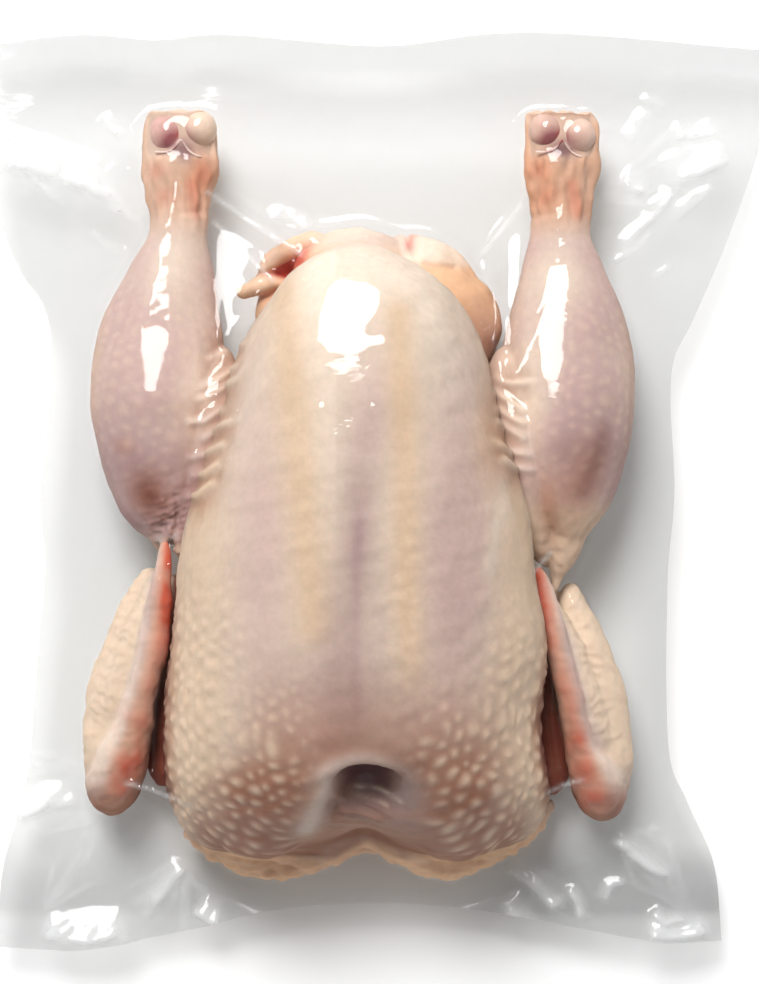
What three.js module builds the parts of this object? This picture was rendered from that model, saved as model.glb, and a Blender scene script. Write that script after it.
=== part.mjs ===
// A whole raw chicken in a clear vacuum bag, lying on its back with its breast up.
// The bag's film is drawn tight over the bird, so the pack is one solid: the bird's form, with the
// film's thin wavy margin standing out all round it. Where the film spans a gap between leg, wing and
// trunk, the solid does too.
//
// Millimetres. X runs across the bird, +Y from its neck to the ends of its legs, +Z up. The origin is
// on the surface that the pack lies on, under the middle of the bag's outline.
//
// Two sheets of film make the form. Both are laid out on one grid of the flat pouch, and each is drawn
// on to the bird like a stretched membrane: the upper one down on to it, the lower one up to it.

import * as THREE from "three";

// ---- driving dimensions ----

const BAG_WIDTH = 286; // across the bag's top corners
const BAG_LENGTH = 326; // from the bottom corners to the top edge
const BAG_COLUMNS = 48; // cells of the pouch's grid across the bag
const BAG_ROWS = 58; // and along it
const MARGIN_THICKNESS = 2; // the two films together, where nothing is between them
const MARGIN_HEIGHT = 21; // of the margin above the surface, before its waves
const FILM_GAP = 0.4; // from the skin to the film's outside
const FILM_DRAWS = 70; // steps in which a sheet is drawn tight
const UPPER_PULL = 0.9; // how far one step sucks the upper film in where it spans a gap
const LOWER_PULL = 0.3; // and the lower one, which the surface holds up

const BIRD_MIDLINE = -6.5; // the bird's own middle lies left of the bag's
const BREAST_HEIGHT = 107; // from the surface to the top of the breast
const TRUNK_HALF_WIDTH = 69; // at the shoulders
const FLAT_DEPTH = 3; // how much of the back's curve is pressed flat
const BLEND = 5; // radius of the creases where parts of the bird meet

// ---- smooth numbers ----

const clamp01 = (t) => Math.min(1, Math.max(0, t));

const smoothStep = (from, to, x) => {
  const t = clamp01((x - from) / (to - from));
  return t * t * (3 - 2 * t);
};

// The larger of two heights, rounded over where they are nearly the same.
function softMax(a, b, radius = BLEND) {
  if (a === -Infinity || b === -Infinity) return Math.max(a, b);
  const near = Math.max(0, radius - Math.abs(a - b));
  return Math.max(a, b) + (near * near) / (4 * radius);
}

const softMin = (a, b, radius) => -softMax(-a, -b, radius);

// A curve through rows of [at, value, value...] that never overshoots its rows. It gives the values at
// a place.
function stations(rows) {
  const at = rows.map((row) => row[0]);
  const slopes = rows.map((row, i) =>
    row.map((value, k) => {
      if (i === 0 || i === rows.length - 1) return 0;
      const before = (value - rows[i - 1][k]) / (at[i] - at[i - 1]);
      const after = (rows[i + 1][k] - value) / (at[i + 1] - at[i]);
      return before * after <= 0 ? 0 : (2 * before * after) / (before + after);
    }),
  );
  for (const [end, next] of [
    [0, 1],
    [rows.length - 1, rows.length - 2],
  ]) {
    const run = at[next] - at[end];
    slopes[end] = rows[end].map((value, k) => (1.5 * (rows[next][k] - value)) / run - slopes[next][k] / 2);
  }
  return (place) => {
    const last = rows.length - 2;
    const i = Math.min(last, Math.max(0, at.findIndex((a) => a > place) - 1));
    const span = at[i + 1] - at[i];
    const t = clamp01((place - at[i]) / span);
    return rows[i].slice(1).map((value, k) => {
      const next = rows[i + 1][k + 1];
      const out = slopes[i][k + 1] * span * t * (1 - t) ** 2;
      const into = slopes[i + 1][k + 1] * span * t * t * (t - 1);
      return value * (1 + 2 * t) * (1 - t) ** 2 + next * t * t * (3 - 2 * t) + out + into;
    });
  };
}

// ---- parts of the bird ----
// Each gives the height of its upper and lower side over a place, or null beside it.

// Round or oval muscle along a spine. A station is [x, y, z, half-width, half-depth].
function limb(spine) {
  const steps = 60;
  const curve = (vectors) => new THREE.CatmullRomCurve3(vectors).getPoints(steps);
  const centres = curve(spine.map(([x, y, z]) => new THREE.Vector3(x, y, z)));
  const sizes = curve(spine.map(([, , , wide, deep]) => new THREE.Vector3(wide, deep, 0)));
  const beads = centres.map((centre, i) => ({ centre, size: sizes[i] }));
  return (x, y) => {
    let [upper, lower] = [-Infinity, Infinity];
    for (const { centre, size } of beads) {
      const away = ((x - centre.x) ** 2 + (y - centre.y) ** 2) / size.x ** 2;
      if (away >= 1) continue;
      const reach = size.y * Math.sqrt(1 - away);
      upper = Math.max(upper, centre.z + reach);
      lower = Math.min(lower, centre.z - reach);
    }
    return upper > -Infinity ? { upper, lower } : null;
  };
}

// A lump of fat or skin: an oval with three radii.
function lump(x0, y0, z0, radiusX, radiusY, radiusZ) {
  return (x, y) => {
    const away = ((x - x0) / radiusX) ** 2 + ((y - y0) / radiusY) ** 2;
    if (away >= 1) return null;
    const reach = radiusZ * Math.sqrt(1 - away);
    return { upper: z0 + reach, lower: z0 - reach };
  };
}

// The trunk, from the neck's rim to the tail. A station is [y, half-width, top, underside], with the
// half-width as a share of the shoulders' and the top as a share of the breast's height.
const TRUNK = stations([
  [-138, 0.0, 0.17, 14],
  [-136.5, 0.44, 0.26, 7],
  [-134, 0.63, 0.37, 3],
  [-130, 0.77, 0.5, 0],
  [-122, 0.89, 0.66, 0],
  [-113, 0.95, 0.77, 0],
  [-97, 1.0, 0.885, 0],
  [-72, 0.985, 0.96, 0],
  [-45, 0.95, 0.995, 0],
  [-20, 0.91, 1.0, 0],
  [5, 0.81, 0.997, 0],
  [25, 0.715, 0.985, 0],
  [41, 0.655, 0.967, 0],
  [55, 0.59, 0.94, 1],
  [67, 0.49, 0.895, 4],
  [74, 0.4, 0.85, 7],
  [79, 0.3, 0.78, 9],
  [83, 0.19, 0.67, 13],
  [86, 0.09, 0.52, 20],
  [87, 0.0, 0.42, 24],
]);
const TRUNK_END = 87;
const NECK_END = -138;
const WIDEST_AT = 0.42; // height of the trunk's widest line, as a share of its depth
const BREAST_ROUND = 2.25; // exponents of the section's oval: rounder above, flatter below
const BACK_ROUND = 3.2;

// The furrow between the two breast muscles, deepest towards the neck.
const furrow = (across, y) =>
  1.8 * Math.exp(-((across / 5) ** 2)) * smoothStep(0, -60, y) * smoothStep(-112, -85, y);

// The neck's opening, a hollow under the front of the breast, which the film is sucked into.
const NECK_HOLLOW = { y: -117, wide: 17, long: 18, deep: 20 };

const neckHollow = (across, y) => {
  const away = (across / NECK_HOLLOW.wide) ** 2 + ((y - NECK_HOLLOW.y) / NECK_HOLLOW.long) ** 2;
  return NECK_HOLLOW.deep * Math.exp(-(away ** 1.6));
};

function trunk(x, y) {
  if (y <= NECK_END || y >= TRUNK_END) return null;
  const [width, top, under] = TRUNK(y);
  const across = x - BIRD_MIDLINE;
  const out = Math.abs(across) / (width * TRUNK_HALF_WIDTH);
  if (out >= 1) return null;
  const high = top * BREAST_HEIGHT;
  const widest = under + (high - under) * WIDEST_AT;
  const dome = (1 - out ** BREAST_ROUND) ** (1 / BREAST_ROUND);
  const back = (1 - out ** BACK_ROUND) ** (1 / BACK_ROUND);
  return {
    upper: widest + (high - widest) * dome - furrow(across, y) - neckHollow(across, y),
    lower: widest - (widest - under + FLAT_DEPTH) * back,
  };
}

// A drumstick, from the knee beside the breast to the bare hock. hockOut and kneeOut say how far its
// two ends stand from the bag's middle line. A row is [y, share of the way out, z, half-width, half-depth].
function drumstick(side, hockOut, kneeOut) {
  const rows = [
    [-19, 0.85, 40, 2.5, 3],
    [-13, 0.92, 40, 8, 9],
    [-5, 0.97, 39, 14.5, 14],
    [7, 1, 37, 19.5, 18],
    [20, 1, 36, 22.5, 20.5],
    [31, 1, 35.5, 23.8, 21.5],
    [47, 0.97, 34, 23.2, 20.5],
    [57, 0.92, 33, 21.6, 19.5],
    [68, 0.75, 32, 18.6, 17],
    [80, 0.45, 30.5, 14.4, 13.5],
    [92, 0.12, 29, 10.6, 10.5],
    [100, 0, 28.5, 10, 10],
    [115, 0, 28, 12.8, 11.5],
    [124, 0, 28, 12.2, 11],
  ];
  return limb(
    rows.map(([y, share, z, wide, deep]) => {
      const out = hockOut + (kneeOut - hockOut) * share;
      return [side * out, y, z, wide, deep];
    }),
  );
}

// The two round ends of the shin bone, bare where the foot was cut off.
const HOCK_END = 127.8;
const condyles = (side, hockOut) =>
  [-6, 6].map((offset) => lump(side * hockOut + offset, HOCK_END, 29, 6.8, 8, 8.5));

const thigh = (side, out) => lump(side * out, 8, 32, 26, 33, 17);

// A wing folded in three: the upper arm hidden below, the forearm outside, and the pointed hand on top.
function wing(side, { elbow, wrist, tip, shoulder }) {
  const between = (a, b, share) => side * (a[0] + (b[0] - a[0]) * share);
  return [
    limb([
      [side * tip[0], tip[1], 47, 2.4, 2.4],
      [between(tip, wrist, 0.1), tip[1] - 19, 47, 4.4, 4],
      [between(tip, wrist, 0.3), tip[1] - 39, 46, 5.6, 5.2],
      [between(tip, wrist, 0.52), tip[1] - 56, 43, 7, 6.5],
      [between(tip, wrist, 0.78), tip[1] - 72, 37, 9.6, 9],
      [side * wrist[0], wrist[1], 31, 10.4, 10.5],
    ]),
    limb([
      [side * elbow[0], elbow[1], 30, 7, 7],
      [between(elbow, wrist, 0.5), elbow[1] - 17, 29, 11, 11],
      [between(elbow, wrist, 0.95), elbow[1] - 38, 28, 12.4, 12],
      [between(elbow, wrist, 1.15), elbow[1] - 55, 28, 12, 12],
      [side * wrist[0], wrist[1] + 1, 28, 11, 11],
    ]),
    limb([
      [side * elbow[0], elbow[1], 24, 9, 9],
      [side * shoulder[0], shoulder[1], 26, 13, 12],
    ]),
  ];
}

const BIRD = [
  trunk,
  drumstick(-1, 70.2, 78),
  drumstick(1, 63.8, 66.5),
  ...condyles(-1, 70.2),
  ...condyles(1, 63.8),
  thigh(-1, 57),
  thigh(1, 46),
  ...wing(-1, { elbow: [81, -34], wrist: [93, -103.5], tip: [75.3, -18.4], shoulder: [58, -82] }),
  ...wing(1, { elbow: [68.5, -36], wrist: [78, -106], tip: [56.4, -28.5], shoulder: [45, -82] }),
  lump(-7, 82, 27, 20, 13, 17), // the tail
  lump(27, 68, 27, 18, 22, 19), // fat beside the vent
  lump(-40, 70, 25, 11, 11, 13), // the flap of skin on its other side
];

// The height of the bird's upper or lower side over a place, or null beside it.
function birdAt(x, y) {
  const hits = BIRD.map((part) => part(x, y)).filter(Boolean);
  if (!hits.length) return null;
  return {
    upper: hits.reduce((height, hit) => softMax(height, hit.upper), -Infinity),
    lower: hits.reduce((height, hit) => softMin(height, hit.lower), Infinity),
  };
}

// ---- the bag ----

const CORNER = { left: -BAG_WIDTH / 2, right: BAG_WIDTH / 2, top: BAG_LENGTH / 2, bottom: -BAG_LENGTH / 2 };

// An edge of the outline, as a smooth curve through [x, y] points.
const edge = (points) =>
  new THREE.CatmullRomCurve3(
    points.map(([x, y]) => new THREE.Vector3(x, y, 0)),
    false,
    "centripetal",
  );

// The vacuum draws both long edges in beside the bird's legs, and the bottom edge in below its neck.
const BOTTOM_LEFT = [-137, CORNER.bottom + 0.4];
const BOTTOM_RIGHT = [122.5, CORNER.bottom + 2.5];
const TOP_LEFT = [CORNER.left, CORNER.top - 4.2];
const TOP_RIGHT = [CORNER.right, CORNER.top - 5.6];
const LEFT_EDGE = edge([
  BOTTOM_LEFT,
  [-134, -133],
  [-126, -103],
  [-121.5, -55],
  [-119, -27],
  [-120.5, -2],
  [-116.5, 42],
  [-119, 65],
  [-128.5, 80],
  [-137, 105],
  TOP_LEFT,
]);
const RIGHT_EDGE = edge([
  BOTTOM_RIGHT,
  [119.5, -133],
  [110, -111],
  [103, -90],
  [102.5, -33],
  [105, 0],
  [104, 42],
  [112, 62],
  [124, 90],
  [136, 125],
  TOP_RIGHT,
]);
const TOP_EDGE = edge([
  TOP_LEFT,
  [-108, CORNER.top],
  [-80, 161.2],
  [-55, CORNER.top],
  [-1, 158.8],
  [38, CORNER.top],
  [70, CORNER.top],
  TOP_RIGHT,
]);
const BOTTOM_EDGE = edge([
  BOTTOM_LEFT,
  [-105, CORNER.bottom],
  [-67, -156],
  [-38, -149],
  [0, -146.5],
  [42, -150],
  [70, -155],
  [98, -160],
  BOTTOM_RIGHT,
]);

// Where a point of the flat pouch, from (0, 0) at its bottom left to (1, 1), comes to lie in plan.
function planOf(u, v) {
  const mix = (a, b, t) => new THREE.Vector3().lerpVectors(a, b, t);
  const corners = mix(
    mix(BOTTOM_EDGE.getPoint(0), BOTTOM_EDGE.getPoint(1), u),
    mix(TOP_EDGE.getPoint(0), TOP_EDGE.getPoint(1), u),
    v,
  );
  return mix(BOTTOM_EDGE.getPointAt(u), TOP_EDGE.getPointAt(u), v)
    .add(mix(LEFT_EDGE.getPointAt(v), RIGHT_EDGE.getPointAt(v), u))
    .sub(corners);
}

// The height at which the two films meet. It ripples towards the edges, and the corners hang lower.
const RIPPLE = 2.2;
const CORNER_DROOP = 9;

function sealHeight(u, v) {
  const [across, along] = [2 * u - 1, 2 * v - 1];
  const rim = Math.max(Math.abs(across), Math.abs(along));
  const ripple = Math.sin(17 * u + 0.8) * along ** 2 + Math.sin(15 * v + 1.2) * across ** 2;
  return MARGIN_HEIGHT + RIPPLE * ripple * smoothStep(0.55, 1, rim) - CORNER_DROOP * (across * along) ** 2;
}

// The pouch's grid: each knot has its place in plan, and the bounds that the two films are drawn against.
const KNOTS_ACROSS = BAG_COLUMNS + 1;
const KNOTS_ALONG = BAG_ROWS + 1;
const knots = [];
for (let row = 0; row < KNOTS_ALONG; row++) {
  for (let column = 0; column < KNOTS_ACROSS; column++) {
    const [u, v] = [column / BAG_COLUMNS, row / BAG_ROWS];
    const { x, y } = planOf(u, v);
    const seal = sealHeight(u, v);
    const bird = birdAt(x, y);
    const inside = column > 0 && row > 0 && column < BAG_COLUMNS && row < BAG_ROWS;
    knots.push({
      x,
      y,
      inside,
      over: Math.max(seal + MARGIN_THICKNESS / 2, bird ? bird.upper + FILM_GAP : 0),
      under: Math.max(0, Math.min(seal - MARGIN_THICKNESS / 2, bird ? bird.lower - FILM_GAP : Infinity)),
    });
  }
}

// Draws one film on to its bound. sign is 1 for the upper film, which is pulled down, and -1 for the
// lower one.
function drawnFilm(bound, sign, pull) {
  let film = [...bound];
  for (let step = 0; step < FILM_DRAWS; step++) {
    film = film.map((height, i) => {
      if (!knots[i].inside) return height;
      const level = (film[i - 1] + film[i + 1] + film[i - KNOTS_ACROSS] + film[i + KNOTS_ACROSS]) / 4;
      return sign * Math.max(sign * bound[i], sign * level - pull);
    });
  }
  return film;
}

// One closed mesh of the two films: the upper, the lower, and the strip that joins them round the edge.
function bagGeometry() {
  const upper = drawnFilm(knots.map((knot) => knot.over), 1, UPPER_PULL);
  const lower = drawnFilm(knots.map((knot) => knot.under), -1, LOWER_PULL);
  const sheet = (heights) => knots.flatMap(({ x, y }, i) => [x, y, heights[i]]);
  const positions = [...sheet(upper), ...sheet(lower)];
  const triangles = [];
  const quad = (a, b, c, d, flip) => triangles.push(...(flip ? [a, b, d, b, c, d] : [a, b, c, a, c, d]));
  const below = knots.length;
  for (let row = 0; row < BAG_ROWS; row++) {
    for (let column = 0; column < BAG_COLUMNS; column++) {
      const a = row * KNOTS_ACROSS + column;
      const [b, c, d] = [a + 1, a + 1 + KNOTS_ACROSS, a + KNOTS_ACROSS];
      const bends = (film) => Math.abs(film[a] - film[c]) > Math.abs(film[b] - film[d]);
      quad(a, b, c, d, bends(upper));
      quad(below + a, below + d, below + c, below + b, !bends(lower));
    }
  }
  const rim = [];
  for (let column = 0; column < BAG_COLUMNS; column++) rim.push(column);
  for (let row = 0; row < BAG_ROWS; row++) rim.push(row * KNOTS_ACROSS + BAG_COLUMNS);
  for (let column = BAG_COLUMNS; column > 0; column--) rim.push(BAG_ROWS * KNOTS_ACROSS + column);
  for (let row = BAG_ROWS; row > 0; row--) rim.push(row * KNOTS_ACROSS);
  rim.forEach((from, i) => {
    const to = rim[(i + 1) % rim.length];
    quad(below + from, below + to, to, from, false);
  });
  const geometry = new THREE.BufferGeometry();
  geometry.setAttribute("position", new THREE.Float32BufferAttribute(positions, 3));
  geometry.setIndex(triangles);
  geometry.computeVertexNormals();
  return geometry;
}

const bag = new THREE.Mesh(
  bagGeometry(),
  new THREE.MeshStandardMaterial({ color: 0xe3c4ad, roughness: 0.22, metalness: 0 }),
);
bag.name = "vacuum_bag";

const pack = new THREE.Group();
pack.add(bag);

export default pack;
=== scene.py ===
"""A whole raw chicken, sealed on its back in a clear vacuum bag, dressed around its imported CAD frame.

Lengths are in millimetres until a mesh is made: a mesh is in metres, in the frame's own axes. X runs
across the bird, +Y from its neck to the ends of its legs, +Z up from the surface that it lies on.

The bird is made of lofts and lumps that are fused and smoothed, and then shaped point by point. The two
films of the bag are drawn over it as stretched membranes.
"""

import math
from types import SimpleNamespace

import bpy
import numpy as np
from bpy.props import FloatProperty, FloatVectorProperty, PointerProperty
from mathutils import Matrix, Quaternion, Vector
from mathutils.bvhtree import BVHTree


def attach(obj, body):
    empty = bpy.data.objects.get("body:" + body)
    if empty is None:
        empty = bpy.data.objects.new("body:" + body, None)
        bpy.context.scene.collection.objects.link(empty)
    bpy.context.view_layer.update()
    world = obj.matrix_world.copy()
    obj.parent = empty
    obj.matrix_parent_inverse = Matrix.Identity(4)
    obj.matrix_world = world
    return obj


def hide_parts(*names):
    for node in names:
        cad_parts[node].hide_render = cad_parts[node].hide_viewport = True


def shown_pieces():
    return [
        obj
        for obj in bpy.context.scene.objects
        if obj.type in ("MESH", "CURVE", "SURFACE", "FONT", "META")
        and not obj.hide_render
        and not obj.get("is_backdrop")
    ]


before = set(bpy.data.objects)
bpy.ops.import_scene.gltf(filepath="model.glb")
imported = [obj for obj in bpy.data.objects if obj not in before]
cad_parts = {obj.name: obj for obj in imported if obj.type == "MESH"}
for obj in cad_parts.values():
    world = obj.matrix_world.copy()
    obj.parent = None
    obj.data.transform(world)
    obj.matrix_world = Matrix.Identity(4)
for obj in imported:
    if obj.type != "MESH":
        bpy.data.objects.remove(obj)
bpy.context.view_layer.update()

bl_info = {
    "name": "Vacuum-Packed Chicken",
    "version": (1, 0, 0),
    "blender": (4, 5, 0),
    "location": "View3D > Sidebar > Chicken",
    "description": "Builds a whole raw chicken in a clear vacuum bag, and the stage it lies on",
    "category": "Add Mesh",
}

MM = 0.001
BAG_NODE = "vacuum_bag"
MIDLINE = -6.5  # the bird's own middle lies left of the bag's
LEFT, RIGHT = -1, 1
LINE = np.linspace(0, 1, 14)  # places along a short fold or sinew


# ---- smooth numbers ----


def smooth_step(start, end, x):
    """0 before the start, 1 beyond the end, and smooth between them."""
    t = np.clip((x - start) / (end - start), 0, 1)
    return t * t * (3 - 2 * t)


def bell(x, middle, width):
    """1 at the middle, fading over the width on both sides."""
    return np.exp(-(((x - middle) / width) ** 2))


def linear(red, green, blue):
    """A screen colour of 0 to 255 as the linear light that Blender works in."""
    return tuple(
        c / 12.92 if c <= 0.04045 else ((c + 0.055) / 1.055) ** 2.4
        for c in (red / 255, green / 255, blue / 255)
    )


def stations(rows):
    """A curve through rows of (at, value, value...) that never overshoots them, as a function of places."""
    at, *columns = np.array(rows, float).T
    run = np.diff(at)
    curves = []
    for values in columns:
        rise = np.diff(values) / run
        product = rise[:-1] * rise[1:]
        inner = np.where(product > 0, 2 * product / (rise[:-1] + rise[1:] + 1e-12), 0)
        first = 1.5 * rise[0] - inner[0] / 2
        last = 1.5 * rise[-1] - inner[-1] / 2
        curves.append((values, np.concatenate([[first], inner, [last]])))

    def at_places(places):
        i = np.clip(np.searchsorted(at, places, side="right") - 1, 0, len(at) - 2)
        span = run[i]
        t = np.clip((places - at[i]) / span, 0, 1)
        hold, arrive = (1 + 2 * t) * (1 - t) ** 2, t * t * (3 - 2 * t)
        leave, enter = t * (1 - t) ** 2 * span, t * t * (t - 1) * span
        return [v[i] * hold + v[i + 1] * arrive + s[i] * leave + s[i + 1] * enter for v, s in curves]

    return at_places


def spline(points, places):
    """A smooth curve through points, evenly parametrized, at places from 0 to 1."""
    points = np.array(points, float)
    padded = np.vstack([2 * points[0] - points[1], points, 2 * points[-1] - points[-2]])
    place = np.clip(places, 0, 1) * (len(points) - 1)
    i = np.minimum(place.astype(int), len(points) - 2)
    t = (place - i)[:, None]
    a, b, c, d = (padded[i + k] for k in range(4))
    return 0.5 * (2 * b + (c - a) * t + (2 * a - 5 * b + 4 * c - d) * t**2 + (3 * (b - c) + d - a) * t**3)


class Ripple:
    """Smooth noise in two or three dimensions, from a few random waves for each octave."""

    WAVES = 14

    def __init__(self, seed, size, octaves=3, stretch=(1, 1, 1)):
        random = np.random.default_rng(seed)
        self.waves = []
        for octave in range(octaves):
            turn = random.normal(size=(self.WAVES, 3))
            turn /= np.linalg.norm(turn, axis=1)[:, None]
            spread = random.uniform(0.6, 1.5, self.WAVES)[:, None]
            self.waves.append(
                (
                    turn * spread * 2 * math.pi * 2**octave / size / np.array(stretch),
                    random.uniform(0, 2 * math.pi, self.WAVES),
                    0.55**octave / math.sqrt(self.WAVES / 2),
                )
            )

    def __call__(self, *axes):
        total = np.zeros(np.broadcast(*axes).shape)
        for turns, shifts, height in self.waves:
            for turn, shift in zip(turns, shifts):
                total += height * np.sin(sum(a * k for a, k in zip(axes, turn)) + shift)
        return total


# ---- meshes ----


def mesh_object(name, points, faces):
    """A new object from points in millimetres."""
    mesh = bpy.data.meshes.new(name)
    mesh.from_pydata((np.asarray(points) * MM).tolist(), [], faces)
    mesh.validate()
    piece = bpy.data.objects.new(name, mesh)
    bpy.context.scene.collection.objects.link(piece)
    return piece


def grid_faces(rows, columns, closed=True):
    """The quads of a grid of points, row after row, whose columns may close on themselves."""
    faces = []
    for row in range(rows - 1):
        low, high = row * columns, (row + 1) * columns
        for column in range(columns if closed else columns - 1):
            after = (column + 1) % columns
            faces.append((low + column, low + after, high + after, high + column))
    return faces


def loft(rings):
    """A closed skin over rings of points, which all have the same number of them."""
    count, around = len(rings), len(rings[0])
    faces = grid_faces(count, around)
    faces += [tuple(range(around))[::-1], tuple((count - 1) * around + k for k in range(around))]
    return np.concatenate(rings), faces


def oval(centre, wide, low, high, round_low=2.0, round_high=2.0, around=96):
    """A ring across Y: an oval with its own height and roundness above and below its widest line."""
    angle = np.arange(around) * 2 * math.pi / around
    cos, sin = np.cos(angle), np.sin(angle)
    power = np.where(sin > 0, 2 / round_high, 2 / round_low)
    x = centre[0] + wide * np.sign(cos) * np.abs(cos) ** power
    z = centre[2] + np.where(sin > 0, high, low) * np.sign(sin) * np.abs(sin) ** power
    return np.stack([x, np.full(around, centre[1]), z], 1)


def limb(rows, step=1.2, around=72):
    """Muscle or bone along Y, through rows of (y, x, z, half-width, half-depth)."""
    rows = sorted(rows)
    along = stations(rows)
    places = np.arange(rows[0][0], rows[-1][0] + step / 2, step)
    x, z, wide, deep = along(places)
    rings = [
        oval((x[i], y, z[i]), max(wide[i], 0.2), max(deep[i], 0.2), max(deep[i], 0.2), around=around)
        for i, y in enumerate(places)
    ]
    return loft(rings)


def lump(centre, radii, turn=0.0, around=40):
    """An oval lump, turned about Z by an angle in degrees."""
    rise = np.linspace(-math.pi / 2 + 0.02, math.pi / 2 - 0.02, around // 2)
    angle = np.arange(around) * 2 * math.pi / around
    cos, sin = math.cos(math.radians(turn)), math.sin(math.radians(turn))
    rings = []
    for r in rise:
        x = radii[0] * np.cos(r) * np.cos(angle)
        y = radii[1] * np.cos(r) * np.sin(angle)
        z = np.full(around, radii[2] * np.sin(r))
        rings.append(np.stack([x * cos - y * sin, x * sin + y * cos, z], 1) + centre)
    return loft(rings)


def tube(path, wide, deep, around=24):
    """A cord along points, with its half-width in plan and its half-depth at each of them."""
    path = np.array(path, float)
    heading = np.gradient(path, axis=0)[:, :2]
    heading /= np.linalg.norm(heading, axis=1)[:, None]
    angle = np.arange(around) * 2 * math.pi / around
    rings = []
    for centre, (dx, dy), w, d in zip(path, heading, wide, deep):
        offset = w * np.cos(angle)
        ring = [centre[0] - dy * offset, centre[1] + dx * offset, centre[2] + d * np.sin(angle)]
        rings.append(np.stack(ring, 1))
    return loft(rings)


def fused(name, forms, voxel, smoothing):
    """One closed skin round overlapping forms, with its creases rounded by smoothing."""
    points, faces, base = [], [], 0
    for form_points, form_faces in forms:
        points.append(form_points)
        faces += [tuple(base + k for k in face) for face in form_faces]
        base += len(form_points)
    rough = mesh_object(name + "_rough", np.concatenate(points), faces)
    remesh = rough.modifiers.new("Fuse", "REMESH")
    remesh.mode = "VOXEL"
    remesh.voxel_size = voxel * MM
    relax = rough.modifiers.new("Relax", "SMOOTH")
    relax.factor = 0.5
    relax.iterations = smoothing
    graph = bpy.context.evaluated_depsgraph_get()
    mesh = bpy.data.meshes.new_from_object(rough.evaluated_get(graph))
    mesh.name = name
    bpy.data.objects.remove(rough)
    piece = bpy.data.objects.new(name, mesh)
    bpy.context.scene.collection.objects.link(piece)
    if not mesh.polygons:
        raise RuntimeError(name + " fused to nothing")
    return piece


def skin_points(piece):
    """A piece's points and outward normals, in millimetres."""
    mesh = piece.data
    points = np.empty(len(mesh.vertices) * 3)
    mesh.vertices.foreach_get("co", points)
    normals = np.empty(len(mesh.vertices) * 3, np.float32)
    mesh.vertex_normals.foreach_get("vector", normals)
    return points.reshape(-1, 3) / MM, normals.reshape(-1, 3).astype(float)


def move_points(piece, points):
    """Puts a piece's points at new places, in millimetres."""
    piece.data.vertices.foreach_set("co", (points * MM).ravel())
    piece.data.update()


def stain(piece, name, amount):
    """Keeps how strongly a colour shows at each point, for the material to read."""
    attribute = piece.data.attributes.new(name, "FLOAT", "POINT")
    attribute.data.foreach_set("value", np.clip(amount, 0, 1).astype(np.float32))


def finish_piece(piece, material):
    """Shades a piece smooth, gives it its material and ties it to the frame."""
    piece.data.materials.clear()
    piece.data.materials.append(material)
    piece.data.polygons.foreach_set("use_smooth", np.ones(len(piece.data.polygons), bool))
    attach(piece, "root")
    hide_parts(BAG_NODE)
    return piece


# ---- soft marks in plan ----


def spot(x, y, centre, reach, turn=0.0):
    """A soft spot: 1 at its centre, fading over its two reaches, turned by an angle in degrees."""
    cos, sin = math.cos(math.radians(turn)), math.sin(math.radians(turn))
    dx, dy = x - centre[0], y - centre[1]
    return np.exp(-(((dx * cos + dy * sin) / reach[0]) ** 2) - ((dy * cos - dx * sin) / reach[1]) ** 2)


def spots(x, y, rows):
    """The sum of soft spots, from rows of (strength, centre, reach) with or without a turn."""
    return sum(strength * spot(x, y, *rest) for strength, *rest in rows)


def distance_to(x, y, path):
    """How far each place is from a broken line, its share of the way along it, and if it is beyond it.

    Beyond a line is its +Y side.
    """
    nearest = np.full(np.broadcast(x, y).shape, 1e9)
    along, beyond = np.zeros(nearest.shape), np.zeros(nearest.shape, bool)
    pieces = list(zip(path, path[1:]))
    for k, (a, b) in enumerate(pieces):
        dx, dy = b[0] - a[0], b[1] - a[1]
        t = np.clip(((x - a[0]) * dx + (y - a[1]) * dy) / (dx * dx + dy * dy), 0, 1)
        away = np.hypot(x - a[0] - t * dx, y - a[1] - t * dy)
        nearer = away < nearest
        along = np.where(nearer, (k + t) / len(pieces), along)
        beyond = np.where(nearer, (dx * (y - a[1]) - dy * (x - a[0])) * dx > 0, beyond)
        nearest = np.minimum(nearest, away)
    return nearest, along, beyond


def streak(x, y, path, width):
    """A soft band along a broken line."""
    return np.exp(-((distance_to(x, y, path)[0] / width) ** 2))


# ---- materials ----


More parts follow.
